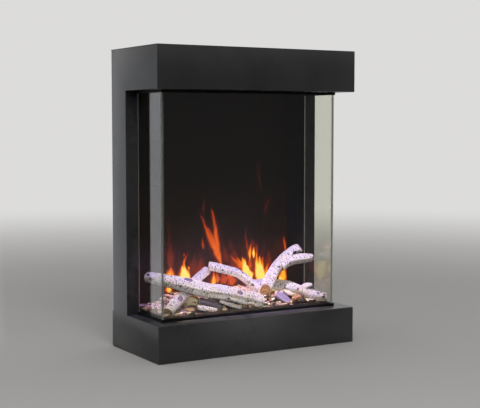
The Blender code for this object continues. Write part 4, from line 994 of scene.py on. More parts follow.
@dataclass(frozen=True)
class Plastic(Finish):
    """Moulded plastic or rubber with a fine spark-eroded grain and slow changes of gloss."""

    colour: Colour = paint(24, 24, 25)
    pale: Colour = paint(36, 36, 38)
    gloss: float = 0.46
    fineness: float = 1500.0
    depth: float = 0.00010

    def feeds(self, tree: Tree) -> Feeds:
        """Grain, gloss and a light bloom.

        Args:
            tree: the shader tree.

        Returns:
            What goes into each of the shader's inputs.
        """
        place = tree.place()
        peel = tree.group(orange_peel(), {"Place": place, "Fineness": self.fineness, "Gloss": self.gloss})
        bloom = tree.span(tree.noise(place, 60.0, 5.0, 0.6), 0.4, 0.75)
        return {
            "Base Color": tree.mix(bloom, self.colour, self.pale),
            "Roughness": peel["Roughness"],
            "Normal": tree.bump(peel["Height"], self.depth),
        }


@dataclass(frozen=True)
class CircuitBoard(Finish):
    """Green solder mask with lighter copper runs under it and tinned dots."""

    def feeds(self, tree: Tree) -> Feeds:
        """Copper runs and dots.

        Args:
            tree: the shader tree.

        Returns:
            What goes into each of the shader's inputs.
        """
        place = tree.place()
        runs = tree.add("ShaderNodeTexBrick", {
            "Vector": place, "Scale": 90.0, "Mortar Size": 0.06, "Color1": BLACK, "Color2": BLACK,
            "Mortar": (1, 1, 1, 1), "Brick Width": 0.9, "Row Height": 0.22,
        }).outputs["Fac"]
        dots = tree.add("ShaderNodeTexVoronoi", {"Vector": place, "Scale": 210.0}).outputs["Distance"]
        dot = tree.span(dots, 0.16, 0.22, 1.0, 0.0)
        green = tree.mix(runs, paint(20, 84, 50), paint(42, 122, 74))
        return {
            "Base Color": tree.mix(dot, green, paint(196, 192, 184)),
            "Roughness": tree.span(tree.noise(place, 90.0), 0.3, 0.7, 0.3, 0.45),
            "Normal": tree.bump(tree.math("ADD", runs, dot), 0.00012),
        }


@dataclass(frozen=True)
class Lens(Finish):
    """A frosted lens, lit from behind in violet blue by a row of small lamps."""

    glow: Colour = (0.36, 0.30, 1.0, 1)
    between: Colour = (0.16, 0.13, 0.5, 1)
    lamp_pitch: float = 0.016
    strength: float = 1.6

    def feeds(self, tree: Tree) -> Feeds:
        """The frost and the row of bright spots.

        Args:
            tree: the shader tree.

        Returns:
            What goes into each of the shader's inputs.
        """
        place = tree.place()
        turn = tree.times(tree.axis(place, "X"), 2 * math.pi / self.lamp_pitch)
        spots = tree.span(tree.math("COSINE", turn), -0.6, 1.0, 0.55, 1.0)
        return {
            "Base Color": tree.mix(tree.noise(place, 500.0), (0.8, 0.8, 0.84, 1), (0.9, 0.9, 0.93, 1)),
            "Emission Color": tree.mix(spots, self.between, self.glow),
            "Emission Strength": self.strength,
            "Roughness": tree.span(tree.noise(place, 900.0, 2.0), 0.3, 0.7, 0.45, 0.6),
        }


@dataclass(frozen=True)
class Ceramic(Finish):
    """Unglazed ceramic with fine pores and a few scorched patches."""

    def feeds(self, tree: Tree) -> Feeds:
        """Pores and scorching.

        Args:
            tree: the shader tree.

        Returns:
            What goes into each of the shader's inputs.
        """
        place = tree.place()
        pores = tree.noise(place, 1300.0)
        scorch = tree.span(tree.noise(place, 40.0, 4.0), 0.5, 0.8)
        return {
            "Base Color": tree.mix(scorch, paint(206, 198, 186), paint(168, 150, 132)),
            "Roughness": tree.span(pores, 0.3, 0.7, 0.7, 0.9),
            "Normal": tree.bump(pores, 0.0002),
        }


FINISHES: dict[Slot, Finish] = {
    Slot.POWDER_COAT: Paint(),
    Slot.LINER: Paint(
        paint(7, 7, 8), paint(11, 11, 12), gloss=0.72, fineness=700.0, dust_amount=0.03, specular=0.2,
    ),
    Slot.GLASS: Glass(),
    Slot.SCREEN: FlameScreen(),
    Slot.SEAL: Seal(),
    Slot.BIRCH: BirchBark(),
    Slot.DRIFTWOOD: DryWood(),
    Slot.TAN_BARK: DryWood(
        paint(214, 202, 172), paint(160, 138, 116), paint(70, 52, 44), paint(204, 180, 144), 300.0, 0.0018,
    ),
    Slot.BROWN_BARK: DryWood(
        paint(128, 92, 66), paint(66, 44, 33), paint(24, 16, 13), paint(184, 142, 98), 260.0, 0.0020,
    ),
    Slot.CHIPS: BarkChips(),
    Slot.GALVANISED: Steel(),
    Slot.BRIGHT_STEEL: Steel((0.78, 0.78, 0.79, 1), (0.62, 0.62, 0.64, 1), spangle=0.1, gloss=0.22),
    Slot.BLACK_PLASTIC: Plastic(),
    Slot.GREY_PLASTIC: Plastic(paint(140, 142, 145), paint(160, 162, 164), gloss=0.42),
    Slot.BOARD: CircuitBoard(),
    Slot.LENS: Lens(),
    Slot.CERAMIC: Ceramic(),
    Slot.WINDOW: Plastic(paint(26, 6, 12), paint(38, 10, 18), gloss=0.12, depth=0.00002),
    Slot.RUBBER: Plastic(paint(18, 18, 18), paint(34, 34, 33), gloss=0.72, fineness=800.0),
}


@dataclass
class FinishRack:
    """Keeps each finish's material, made the first time that it is needed."""

    made: dict[Slot, bpy.types.Material] = field(default_factory=dict)

    def material(self, slot: Slot) -> bpy.types.Material:
        """The material of a slot. The glass rims' painted glow isn't sampled as a lamp is.

        Args:
            slot: the slot.

        Returns:
            Its material.
        """
        if slot not in self.made:
            self.made[slot] = FINISHES[slot].make(slot.value)
            if slot is Slot.GLASS:
                self.made[slot].cycles.emission_sampling = "NONE"
        return self.made[slot]

    def dress(self, piece: bpy.types.Object, slot: Slot, node: str | None = None) -> None:
        """Gives a new piece its finish and makes it ride on the casing.

        Args:
            piece: the new piece.
            slot: the finish that it takes.
            node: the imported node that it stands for, if any.
        """
        if node:
            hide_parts(node)
        piece.data.materials.clear()
        piece.data.materials.append(self.material(slot))
        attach(piece, CASING)
        log.info("%s: %d faces, %s", piece.name, len(piece.data.polygons), slot.value)


# Sub-assemblies


@dataclass
class Casing:
    """The black steel surround.

    Its sheets and mouldings get rounded edges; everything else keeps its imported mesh.
    """

    sheet_edge: float = 0.0004
    moulding_edge: float = 0.0003
    sheets: tuple[str, ...] = (
        "hood_shell", "plinth_shell", "left_side_panel", "right_side_panel", "top_plate",
    )
    mouldings: tuple[str, ...] = ("control_panel", "rocker_frame", "cable_gland")

    def build(self, rack: FinishRack) -> None:
        """Rounds the edges of the sheets and mouldings that show.

        Args:
            rack: the finishes.
        """
        slots = {row["node"]: row["material_slot"] for row in frame["record"]["subparts"]}
        for names, width in ((self.sheets, self.sheet_edge), (self.mouldings, self.moulding_edge)):
            for name in names:
                rack.dress(eased_copy(name, width), Slot(slots[name]), name)

    def dress(self, rack: FinishRack) -> None:
        """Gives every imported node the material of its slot.

        Args:
            rack: the finishes.
        """
        for row in frame["record"]["subparts"]:
            node = frame["nodes"][row["node"]]
            material = rack.material(Slot(row["material_slot"]))
            if not node.material_slots:
                node.data.materials.append(material)
            for place in node.material_slots:
                place.material = material
        log.info("%d packed nodes dressed", len(frame["nodes"]))


@dataclass
class Glazing:
    """Three panes of toughened glass with arrised edges."""

    arris: float = 0.0006
    crease: float = 20.0
    panes: tuple[tuple[str, int], ...] = (("front_glass", 1), ("left_glass", 0), ("right_glass", 0))

    def build(self, rack: FinishRack) -> None:
        """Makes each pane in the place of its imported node.

        Args:
            rack: the finishes.
        """
        for node, thin in self.panes:
            low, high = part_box(node)
            piece = slab(tuple(low), tuple(high), thin, self.arris).piece(f"{node}_pane", self.crease)
            rack.dress(piece, Slot.GLASS, node)


@dataclass(frozen=True)
class Tongue:
    """One tongue of flame on the screen.

    It has a foot and a tip, each across and up, a half width, a bow, a heat, and a belly, which is the
    share of its length where it is widest.
    """

    foot_x: float
    foot_z: float
    tip_x: float
    tip_z: float
    half: float
    bend: float
    heat: float
    belly: float


# Tongues: lengths in tenths of a millimetre, heat and belly in hundredths

FLAMES: tuple[Tongue, ...] = scaled_rows(Tongue, (10000,) * 6 + (100,) * 2, (
    (200, 1803, -65, 3210, 56, -28, 52, 50), (132, 1931, -373, 3051, 50, -22, 48, 50),
    (125, 2000, -185, 2680, 72, -10, 50, 70), (-279, 2214, -309, 2498, 16, 5, 42, 30),
    (-851, 1492, -855, 1846, 68, 0, 125, 30), (-725, 1496, -697, 1745, 59, 0, 110, 35),
    (-817, 1685, -709, 2105, 20, 32, 66, 20), (-653, 1735, -650, 1830, 16, 0, 80, 30),
    (-802, 2042, -804, 2140, 13, 0, 42, 30), (-1191, 1565, -1174, 1823, 60, 0, 70, 20),
    (-1293, 1572, -1284, 1746, 31, 0, 52, 20), (-1201, 1784, -1197, 2460, 77, 10, 21, 40),
    (-1241, 2221, -1243, 3003, 29, 10, 11, 30), (-1263, 1231, -1267, 1425, 55, 0, 92, 20),
    (-358, 1531, -288, 1994, 119, 0, 21, 30), (-566, 1570, -459, 2114, 84, 25, 18, 30),
    (-7, 1296, -21, 1631, 40, -10, 84, 20), (117, 1373, 75, 1600, 59, 0, 50, 20),
    (315, 1322, 216, 1578, 70, 0, 36, 20), (544, 1280, 444, 1500, 77, 0, 44, 20),
    (387, 1828, 302, 2256, 62, 12, 18, 30), (731, 1480, 559, 2142, 137, 37, 23, 30),
    (861, 1609, 467, 1997, 42, 15, 52, 30), (992, 1512, 633, 1932, 48, 12, 74, 30),
    (972, 1564, 777, 1816, 48, 7, 125, 35), (888, 1695, 870, 1928, 16, 0, 110, 30),
    (1095, 1379, 949, 1654, 44, 0, 110, 30), (1033, 1888, 1100, 2262, 27, 17, 80, 35),
    (1144, 1906, 1155, 2188, 20, 0, 110, 35), (1027, 1636, 1056, 1974, 48, 7, 40, 35),
    (992, 2041, 942, 2646, 22, 7, 27, 30), (1303, 1351, 1226, 2040, 57, 15, 110, 25),
    (1392, 1345, 1326, 1882, 60, 7, 125, 25), (1505, 1388, 1581, 1752, 35, -12, 74, 25),
    (1415, 1585, 1444, 1926, 26, -7, 64, 30), (1238, 1900, 1232, 2254, 15, 0, 42, 30),
    (1197, 1371, 1123, 2386, 183, 20, 24, 35), (1597, 1445, 1581, 2057, 91, 0, 22, 30),
    (2079, 2016, 2020, 2429, 16, 5, 54, 40), (2075, 1515, 2061, 2132, 48, 5, 24, 30),
    (2015, 1210, 2056, 1735, 62, 10, 88, 25), (1933, 1229, 1927, 1453, 37, 5, 110, 20),
    (-282, 3084, -275, 3463, 22, 0, 13, 40), (1496, 3050, 1613, 3437, 26, 12, 11, 40),
    (1374, 3646, 1282, 4337, 20, 12, 10, 40), (496, 2120, 470, 2433, 27, 5, 12, 40),
    (-805, 1440, -795, 1883, 91, 0, 125, 38), (1383, 1256, 1353, 1944, 99, 10, 125, 35),
    (957, 1388, 803, 1939, 70, 12, 125, 35), (-1210, 1518, -1201, 1796, 70, 0, 80, 30),
    (187, 1816, -140, 2740, 100, -26, 56, 78), (458, 1400, 400, 1560, 75, 0, 46, 30),
))


@dataclass
class FlamePanel:
    """The screen behind the bed, with the heat of its flames worked out on a fine grid."""

    cell: float = 0.0016
    fine_top: float = 0.36
    coarse: float = 0.0040
    spread: float = 3.1
    halo_heat: float = 0.34
    squash: float = 0.55
    foot_ease: float = 0.22
    thinnest: float = 0.0002
    taper: float = 0.8
    edge: float = 0.75
    tip_fade: float = 0.06
    cooling: float = 0.40
    cooling_span: Pair = (0.35, 0.65)
    halo_foot: Pair = (-0.5, 0.55)
    halo_tip: Pair = (1.25, 0.65)
    halo_reach: Pair = (1.5, 0.006)
    crease: float = 30.0
    drifts: tuple[Pair, ...] = ((0.045, 0.0040), (0.017, 0.0026), (0.007, 0.0012))
    seed: int = 31
    tongues: tuple[Tongue, ...] = FLAMES

    def build(self, rack: FinishRack) -> None:
        """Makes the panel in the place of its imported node.

        Args:
            rack: the finishes.
        """
        low, high = (np.array(corner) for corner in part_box("flame_screen"))
        across = np.linspace(low[0], high[0], int((high[0] - low[0]) / self.cell))
        fine = np.arange(low[2], self.fine_top, self.cell)
        coarse = np.linspace(self.fine_top, high[2], int((high[2] - self.fine_top) / self.coarse))
        grid = joined(across, low[1], np.concatenate((fine, coarse))[:, None])
        surface = skirted(grid, 1, high[1], {"burn": self.heat(grid[..., 0], grid[..., 2])})
        rack.dress(surface.piece("flame_screen_panel", self.crease), Slot.SCREEN, "flame_screen")

    def heat(self, across: np.ndarray, up: np.ndarray) -> np.ndarray:
        """The heat of all the tongues.

        A point is first moved aside by slow and quick noise. Along a tongue's line from foot to tip runs a
        share t, and across it a distance s, less a bow of 4 t (1 - t) times the bend. The half width eases
        up from the foot to the belly, and falls to the tip as (1 - t) to the power of the taper. The glow
        rises from 0 at the edge to the heat in the middle, and cools towards the tip. Round it lies a
        weaker halo.

        Args:
            across, up: the points.

        Returns:
            A heat from 0 to 1 at each point.
        """
        place = joined(across, up * self.squash, 0.0)
        for cell, reach in self.drifts:
            across = across + reach * lattice_noise(place, cell, self.seed)
            up = up + 0.5 * reach * lattice_noise(place, cell, self.seed + 1)
        heat = np.zeros_like(across)
        for tongue in self.tongues:
            right, above = across - tongue.foot_x, up - tongue.foot_z
            line = np.array((tongue.tip_x - tongue.foot_x, tongue.tip_z - tongue.foot_z))
            length = float(np.hypot(*line))
            way = line / length
            share = (right * way[0] + above * way[1]) / length
            aside = way[0] * above - way[1] * right
            rest = np.clip(1 - share, 0, 1)
            distance = np.abs(aside - 4 * share * rest * tongue.bend)
            swell = ease((share + self.foot_ease) / (tongue.belly + self.foot_ease))
            half = np.maximum(rest**self.taper * swell * tongue.half * self.spread, self.thinnest)
            cooled = 1 - self.cooling * ease((share - self.cooling_span[0]) / self.cooling_span[1])
            glow = ease((1 - distance / half) / self.edge) * ease(rest / self.tip_fade) * cooled
            fade = ease((share - self.halo_foot[0]) / self.halo_foot[1])
            fade = fade * ease((self.halo_tip[0] - share) / self.halo_tip[1])
            reach = self.halo_reach[0] * half + self.halo_reach[1]
            halo = ease(1 - distance / reach) * fade * self.halo_heat
            heat = np.maximum(heat, tongue.heat * np.maximum(glow, halo))
        return heat


@dataclass(frozen=True)
class Branch:
    """One length of a log: its greatest radius, its route, its knots and how its ends are sawn.

    A stop is thousandths of the pile's box across, back and up, and hundredths of the radius. A knot is
    thousandths along the log, degrees up from the level front, its size in tenths of a millimetre, and
    in tenths how far it is drawn out. The saw's faces are given by their normals.
    """

    radius: float
    stops: Table
    knots: Table = ()
    flare: float = 0.0
    foot_faces: Triple | None = None
    tip_faces: Triple | None = None


STOP_SCALES = (1000, 1000, 1000, 100)
KNOT_SCALES = (1000, 1, 10000, 10)


@dataclass(frozen=True)
class Log:
    """A log or stick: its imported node, finish, branches, roughness, and the flat face of a split log."""

    node: str
    slot: Slot
    branches: tuple[Branch, ...]
    seed: int
    rough: float = 0.05
    flat_angle: float = 0.0
    flat_share: float = 2.0


@dataclass
class LogPile:
    """The logs, sticks and chunks that lie on the bed."""

    low: Triple = (-0.226, -0.078, 0.0943)
    high: Triple = (0.226, 0.100, 0.2343)
    around: int = 44
    steps: int = 18
    oval: float = 0.06
    end_share: float = 0.86
    end_rings: tuple[float, ...] = (0.30, 0.60, 0.84, 1.0)
    end_push: tuple[float, ...] = (1.0, 1.0, 1.0, 0.9)
    shoulder: float = 0.95
    end_rise: float = 0.0016
    end_radius: float = 0.015
    saw_reach: float = 0.032
    flare_reach: float = 0.008
    small_radius: float = 0.011
    lump_cells: Pair = (0.017, 0.006)
    quick_lumps: float = 0.45
    flat_lumps: float = 0.10
    least_facing: float = 0.05
    grit_cell: float = 0.0022
    grit_depth: float = 0.012
    knot_cell: float = 0.0035
    knot_rag: float = 0.22
    knot_edge: float = 1.25
    knot_fade: float = 0.9
    lip_height: float = 0.16
    lip_place: float = 1.15
    lip_sharpness: float = 7.0
    hollow_depth: float = 0.26
    hollow_sharpness: float = 1.3
    ragged_cell: float = 0.004
    ragged_depth: float = 0.0005
    seeds_apart: int = 7
    grain_shifts: Pair = (0.731, 0.37)
    crease: float = 50.0
    logs: tuple[Log, ...] = (
        Log("long_log", Slot.BIRCH, (
            Branch(0.018, (
                (32, 600, 548, 68), (60, 480, 537, 72), (90, 390, 512, 76), (133, 309, 476, 84),
                (185, 240, 425, 92), (252, 190, 360, 95), (389, 140, 267, 93), (525, 122, 148, 95),
                (588, 114, 79, 92),
            ), (
                (330, 66, 74, 15), (766, 32, 66, 11), (30, 38, 30, 13), (65, 0, 36, 16), (680, -40, 30, 13),
                (460, -12, 22, 10), (920, -16, 24, 10),
            )),
        ), seed=11),
        Log("prop_log", Slot.BIRCH, (
            Branch(0.0135, (
                (39, 76, 57, 96), (108, 185, 180, 98), (181, 303, 291, 93), (269, 438, 457, 84),
                (360, 545, 595, 81),
            ), (
                (245, 42, 78, 11), (540, 60, 26, 13), (700, 20, 22, 13),
            )),
        ), seed=12),
        Log("middle_log", Slot.BIRCH, (
            Branch(0.0136, (
                (351, 444, 686, 83), (392, 438, 659, 80), (450, 424, 605, 78), (517, 404, 533, 78),
                (565, 388, 417, 77), (607, 382, 306, 82), (630, 376, 219, 82),
            ), (
                (570, 76, 64, 22), (830, -16, 26, 13), (220, -12, 20, 13),
            ), foot_faces=(-0.84, 0.54, 0.05)),
        ), seed=13),
        Log("forked_log", Slot.BIRCH, (
            Branch(0.015, (
                (643, 230, 234, 96), (674, 287, 337, 94), (706, 326, 465, 91), (731, 343, 564, 88),
                (757, 348, 652, 86), (796, 360, 754, 81), (840, 382, 837, 75), (878, 404, 885, 71),
                (909, 421, 898, 66),
            ), (
                (800, -20, 66, 16), (180, 32, 24, 13), (450, 10, 22, 13),
            ), foot_faces=(-0.62, -0.76, -0.1), tip_faces=(0.72, -0.34, 0.6)),
            Branch(0.0134, (
                (763, 346, 616, 85), (797, 340, 673, 97), (832, 340, 706, 100), (887, 354, 717, 96),
                (936, 376, 717, 88), (977, 399, 711, 76),
            ), (
                (840, 60, 26, 13), (960, 10, 30, 13),
            ), flare=0.3),
        ), seed=14),
        Log("low_log", Slot.BIRCH, (
            Branch(0.0146, (
                (650, 545, 287, 82), (702, 522, 289, 87), (744, 466, 284, 91), (776, 388, 268, 96),
                (806, 303, 246, 100), (858, 219, 178, 96), (921, 149, 100, 86), (984, 90, 52, 79),
            ), (
                (735, 84, 42, 24), (880, 50, 34, 13), (930, 72, 32, 13), (975, 48, 34, 13),
                (965, 12, 34, 13), (600, 20, 24, 13),
            )),
            Branch(0.0072, (
                (868, 213, 213, 90), (894, 202, 261, 96), (924, 185, 279, 60),
            ), flare=0.3),
        ), seed=15),
        Log("grey_split_log", Slot.DRIFTWOOD, (
            Branch(0.0112, (
                (693, 154, 181, 88), (724, 121, 104, 100), (756, 98, 26, 84),
            )),
        ), seed=16, rough=0.1, flat_angle=35.0, flat_share=0.55),
        Log("driftwood_chunk", Slot.DRIFTWOOD, (
            Branch(0.0096, (
                (241, 208, 169, 82), (297, 180, 120, 100), (352, 155, 62, 76),
            )),
        ), seed=17, rough=0.14, flat_angle=70.0, flat_share=0.7),
        Log("bark_chunk", Slot.TAN_BARK, (
            Branch(0.0126, (
                (176, 326, 177, 74), (203, 275, 152, 94), (231, 230, 126, 76),
            )),
        ), seed=18, rough=0.16, flat_angle=40.0, flat_share=0.62),
        Log("long_stick", Slot.BIRCH, (
            Branch(0.0044, (
                (338, 106, 160, 72), (400, 84, 86, 100), (458, 64, 24, 88),
            )),
        ), seed=19),
        Log("short_stick", Slot.BIRCH, (
            Branch(0.0062, (
                (210, 112, 96, 82), (262, 87, 52, 100), (314, 70, 18, 72),
            )),
        ), seed=20),
        Log("small_log", Slot.BROWN_BARK, (
            Branch(0.0069, (
                (785, 101, 62, 96), (820, 146, 74, 100), (849, 191, 83, 90),
            )),
        ), seed=21, rough=0.1),
    )

    def build(self, rack: FinishRack) -> None:
        """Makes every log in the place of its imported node.

        Args:
            rack: the finishes.
        """
        for item in self.logs:
            shapes = (self.shape(item, branch, number) for number, branch in enumerate(item.branches))
            piece = reduce(Surface.plus, shapes).piece(f"{item.node}_bark", self.crease)
            rack.dress(piece, item.slot, item.node)

    def small_pieces(self) -> list[tuple[np.ndarray, np.ndarray]]:
        """Points and radii along each thin stick or chunk."""
        firsts = (item.branches[0] for item in self.logs)
        return [self.route(branch) for branch in firsts if branch.radius < self.small_radius]

    def route(self, branch: Branch) -> tuple[np.ndarray, np.ndarray]:
        """Points and radii along a branch.

        Between two stops runs a cubic whose slopes are half the way from the stop before to the stop
        after, as in the solid.

        Args:
            branch: the branch.

        Returns:
            The points, and the radius at each.
        """
        low, high = np.array(self.low), np.array(self.high)
        stops = np.array(branch.stops) / STOP_SCALES
        stops = np.hstack((low + stops[:, :3] * (high - low), stops[:, 3:] * branch.radius))
        last = len(stops) - 1
        piece = np.repeat(np.arange(last), self.steps)
        share = np.tile(np.arange(self.steps) / self.steps, last)[:, None]
        start, end = stops[piece], stops[piece + 1]
        before, after = stops[np.maximum(piece - 1, 0)], stops[np.minimum(piece + 2, last)]
        square, cube = share**2, share**3
        curve = (
            start * (2 * cube - 3 * square + 1) + end * (3 * square - 2 * cube)
            + (end - before) / 2 * (cube - 2 * square + share) + (after - start) / 2 * (cube - square)
        )
        curve = np.vstack((curve, stops[-1:]))
        return curve[:, :3], curve[:, 3]

    def shape(self, item: Log, branch: Branch, number: int) -> Surface:
        """The surface of one branch.

        On the ring at length u, the angle v has the reach r (1 + oval) times one plus noise on the log
        made straight, plus a raised lip and a hollow at each knot. A split log's reach stops at a flat.
        The last rings at either end draw in to a pole over the sawn face. An end sawn aslant has its rings
        slid along the log until they lie in the saw's plane, less and less over the saw's reach.

        Args:
            item: the log.
            branch: its branch.
            number: which branch it is.

        Returns:
            The closed surface, with "unrolled", "sawn" and "knot".
        """
        points, radii = self.route(branch)
        way = unit(np.gradient(points, axis=0))
        gone = np.concatenate(((0.0,), np.cumsum(np.linalg.norm(np.diff(points, axis=0), axis=1))))
        radii = radii * (1 + branch.flare * np.exp(-gone / self.flare_reach))
        count, added = len(points), len(self.end_rings)
        face = np.array(self.end_rings) * self.end_share
        factor = np.concatenate((face, np.ones(count), face[::-1]))
        factor[[added, -added - 1]] = self.shoulder
        push = np.array(self.end_push)
        rise = self.end_rise * (radii.max() / self.end_radius)
        shift = rise * np.concatenate((-push, np.zeros(count), push[::-1]))
        sawn = np.pad(np.zeros(count), added, constant_values=1.0)
        rows = np.pad(np.arange(count), added, mode="edge")
        ways, reach, length = way[rows], radii[rows, None], (gone[rows] + shift)[:, None]
        across = unit(np.cross(ways, (0.0, 0.0, 1.0)))
        up = np.cross(across, ways)
        angle = np.arange(self.around) * 2 * math.pi / self.around
        cosine, sine = np.cos(angle), np.sin(angle)
        straight = joined(reach * cosine, reach * sine, length)
        seed = item.seed * self.seeds_apart + number
        slow, quick = (lattice_noise(straight, cell, seed + n) for n, cell in enumerate(self.lump_cells))
        lumps = slow + self.quick_lumps * quick
        grit = lattice_noise(straight, self.grit_cell, seed + 2)
        oval = self.oval * (np.cos(2 * angle + len(branch.stops)) + np.cos(3 * angle)) / 2
        out = reach * (1 + oval + item.rough * lumps + self.grit_depth * grit)
        knot = np.zeros_like(out)
        for place, turn, size, draw in np.reshape(branch.knots, (-1, 4)) / KNOT_SCALES:
            turned = (angle - math.radians(turn) + math.pi) % (2 * math.pi) - math.pi
            gap = np.hypot(turned * reach, (length - place * gone[-1]) / draw) / size
            gap += self.knot_rag * lattice_noise(straight, self.knot_cell, seed + 5)
            knot = np.maximum(knot, ease((self.knot_edge - gap) / self.knot_fade))
            lip = np.exp(-((gap - self.lip_place) ** 2) * self.lip_sharpness)
            hollow = np.exp(-((gap * self.hollow_sharpness) ** 2))
            out += size * (self.lip_height * lip - self.hollow_depth * hollow)
        facing = np.maximum(np.cos(angle - math.radians(item.flat_angle)), self.least_facing)
        flat = item.flat_share * reach * (1 + self.flat_lumps * lumps) / facing
        out = np.minimum(out, flat) * factor[:, None]
        level, rising = out * cosine, out * sine
        slid = self.ragged_depth * lattice_noise(straight, self.ragged_cell, seed + 3) * sawn[:, None]
        for saw, inward in ((branch.foot_faces, length), (branch.tip_faces, gone[-1] - length)):
            if saw is not None:
                normal = np.array(saw) / np.linalg.norm(saw)
                offset = (across @ normal)[:, None] * level + (up @ normal)[:, None] * rising
                slid -= offset / (ways @ normal)[:, None] * ease(1 - inward / self.saw_reach)
        middle = points[rows] + ways * shift[:, None]
        grid = middle[:, None] + across[:, None] * level[..., None] + up[:, None] * rising[..., None]
        grid += ways[:, None] * slid[..., None]
        ends = np.array(((0, 0, length[0, 0]), (0, 0, length[-1, 0])))
        apart = np.array((0.0, 0.0, item.seed * self.grain_shifts[0] + number * self.grain_shifts[1]))
        values = {
            "unrolled": np.vstack((joined(level, rising, length).reshape(-1, 3), ends)) + apart,
            "sawn": np.concatenate((np.repeat(sawn, self.around), (1.0, 1.0))),
            "knot": np.concatenate((knot.ravel(), (0.0, 0.0))),
        }
        corners = np.vstack((grid.reshape(-1, 3), middle[[0, -1]]))
        return Surface(corners, sleeve_faces(len(rows), self.around), values).outward()


@dataclass(frozen=True)
class Flake:
    """A larger chip, one of a given list.

    It has a place, half sizes, a turn and a lean to the front in degrees, and a tone.
    """

    across: float
    back: float
    long: float
    wide: float
    thick: float
    turn: float
    lean: float
    tone: float


# Flakes: places in millimetres, sizes in tenths of one, turn and lean in degrees, tone in hundredths

FLAKES: tuple[Flake, ...] = scaled_rows(Flake, (1000, 1000, 10000, 10000, 10000, 1, 1, 100), (
    (151, -78, 150, 70, 30, -14, 38, 46), (128, -42, 180, 70, 25, -24, 45, 97),
    (174, -91, 110, 45, 16, -8, 38, 80), (52, -64, 95, 50, 15, 12, 42, 78),
    (73, -51, 85, 45, 18, 58, 30, 22), (69, -74, 105, 50, 15, -38, 48, 93),
    (45, -86, 105, 45, 15, -5, 42, 86), (67, -89, 85, 45, 15, 22, 40, 70),
    (88, -32, 70, 45, 20, 40, 34, 18), (31, -85, 75, 40, 13, -20, 40, 62),
    (90, -64, 80, 35, 15, -62, 40, 90), (-10, -33, 270, 55, 18, -31, 46, 30),
    (7, -69, 130, 55, 20, -14, 42, 34), (-11, -90, 170, 40, 13, -4, 40, 80),
    (13, -92, 110, 40, 13, 6, 40, 90), (-41, -39, 120, 45, 15, -30, 42, 20),
    (-64, -73, 100, 40, 15, -8, 40, 72), (-51, -83, 80, 35, 13, -30, 36, 30),
    (-167, -59, 120, 50, 18, -10, 42, 42), (-143, -50, 135, 55, 20, -16, 42, 56),
    (-148, -79, 90, 40, 15, 4, 40, 82), (-187, -66, 75, 40, 15, 20, 38, 72),
    (-132, -92, 90, 40, 15, -6, 40, 30), (-111, -89, 80, 35, 13, -20, 40, 52),
    (-228, 4, 120, 40, 15, -30, 38, 76), (-222, -36, 110, 50, 20, -44, 42, 50),
    (-211, 15, 100, 45, 15, -20, 40, 28), (-199, -13, 100, 45, 15, 40, 40, 60),
    (125, -86, 80, 40, 15, 10, 40, 66), (143, -109, 90, 35, 13, -10, 40, 36),
    (184, -100, 70, 35, 13, -24, 40, 62), (-159, 20, 110, 50, 15, 30, 40, 20),
    (10, -17, 120, 50, 20, -24, 40, 24),
))


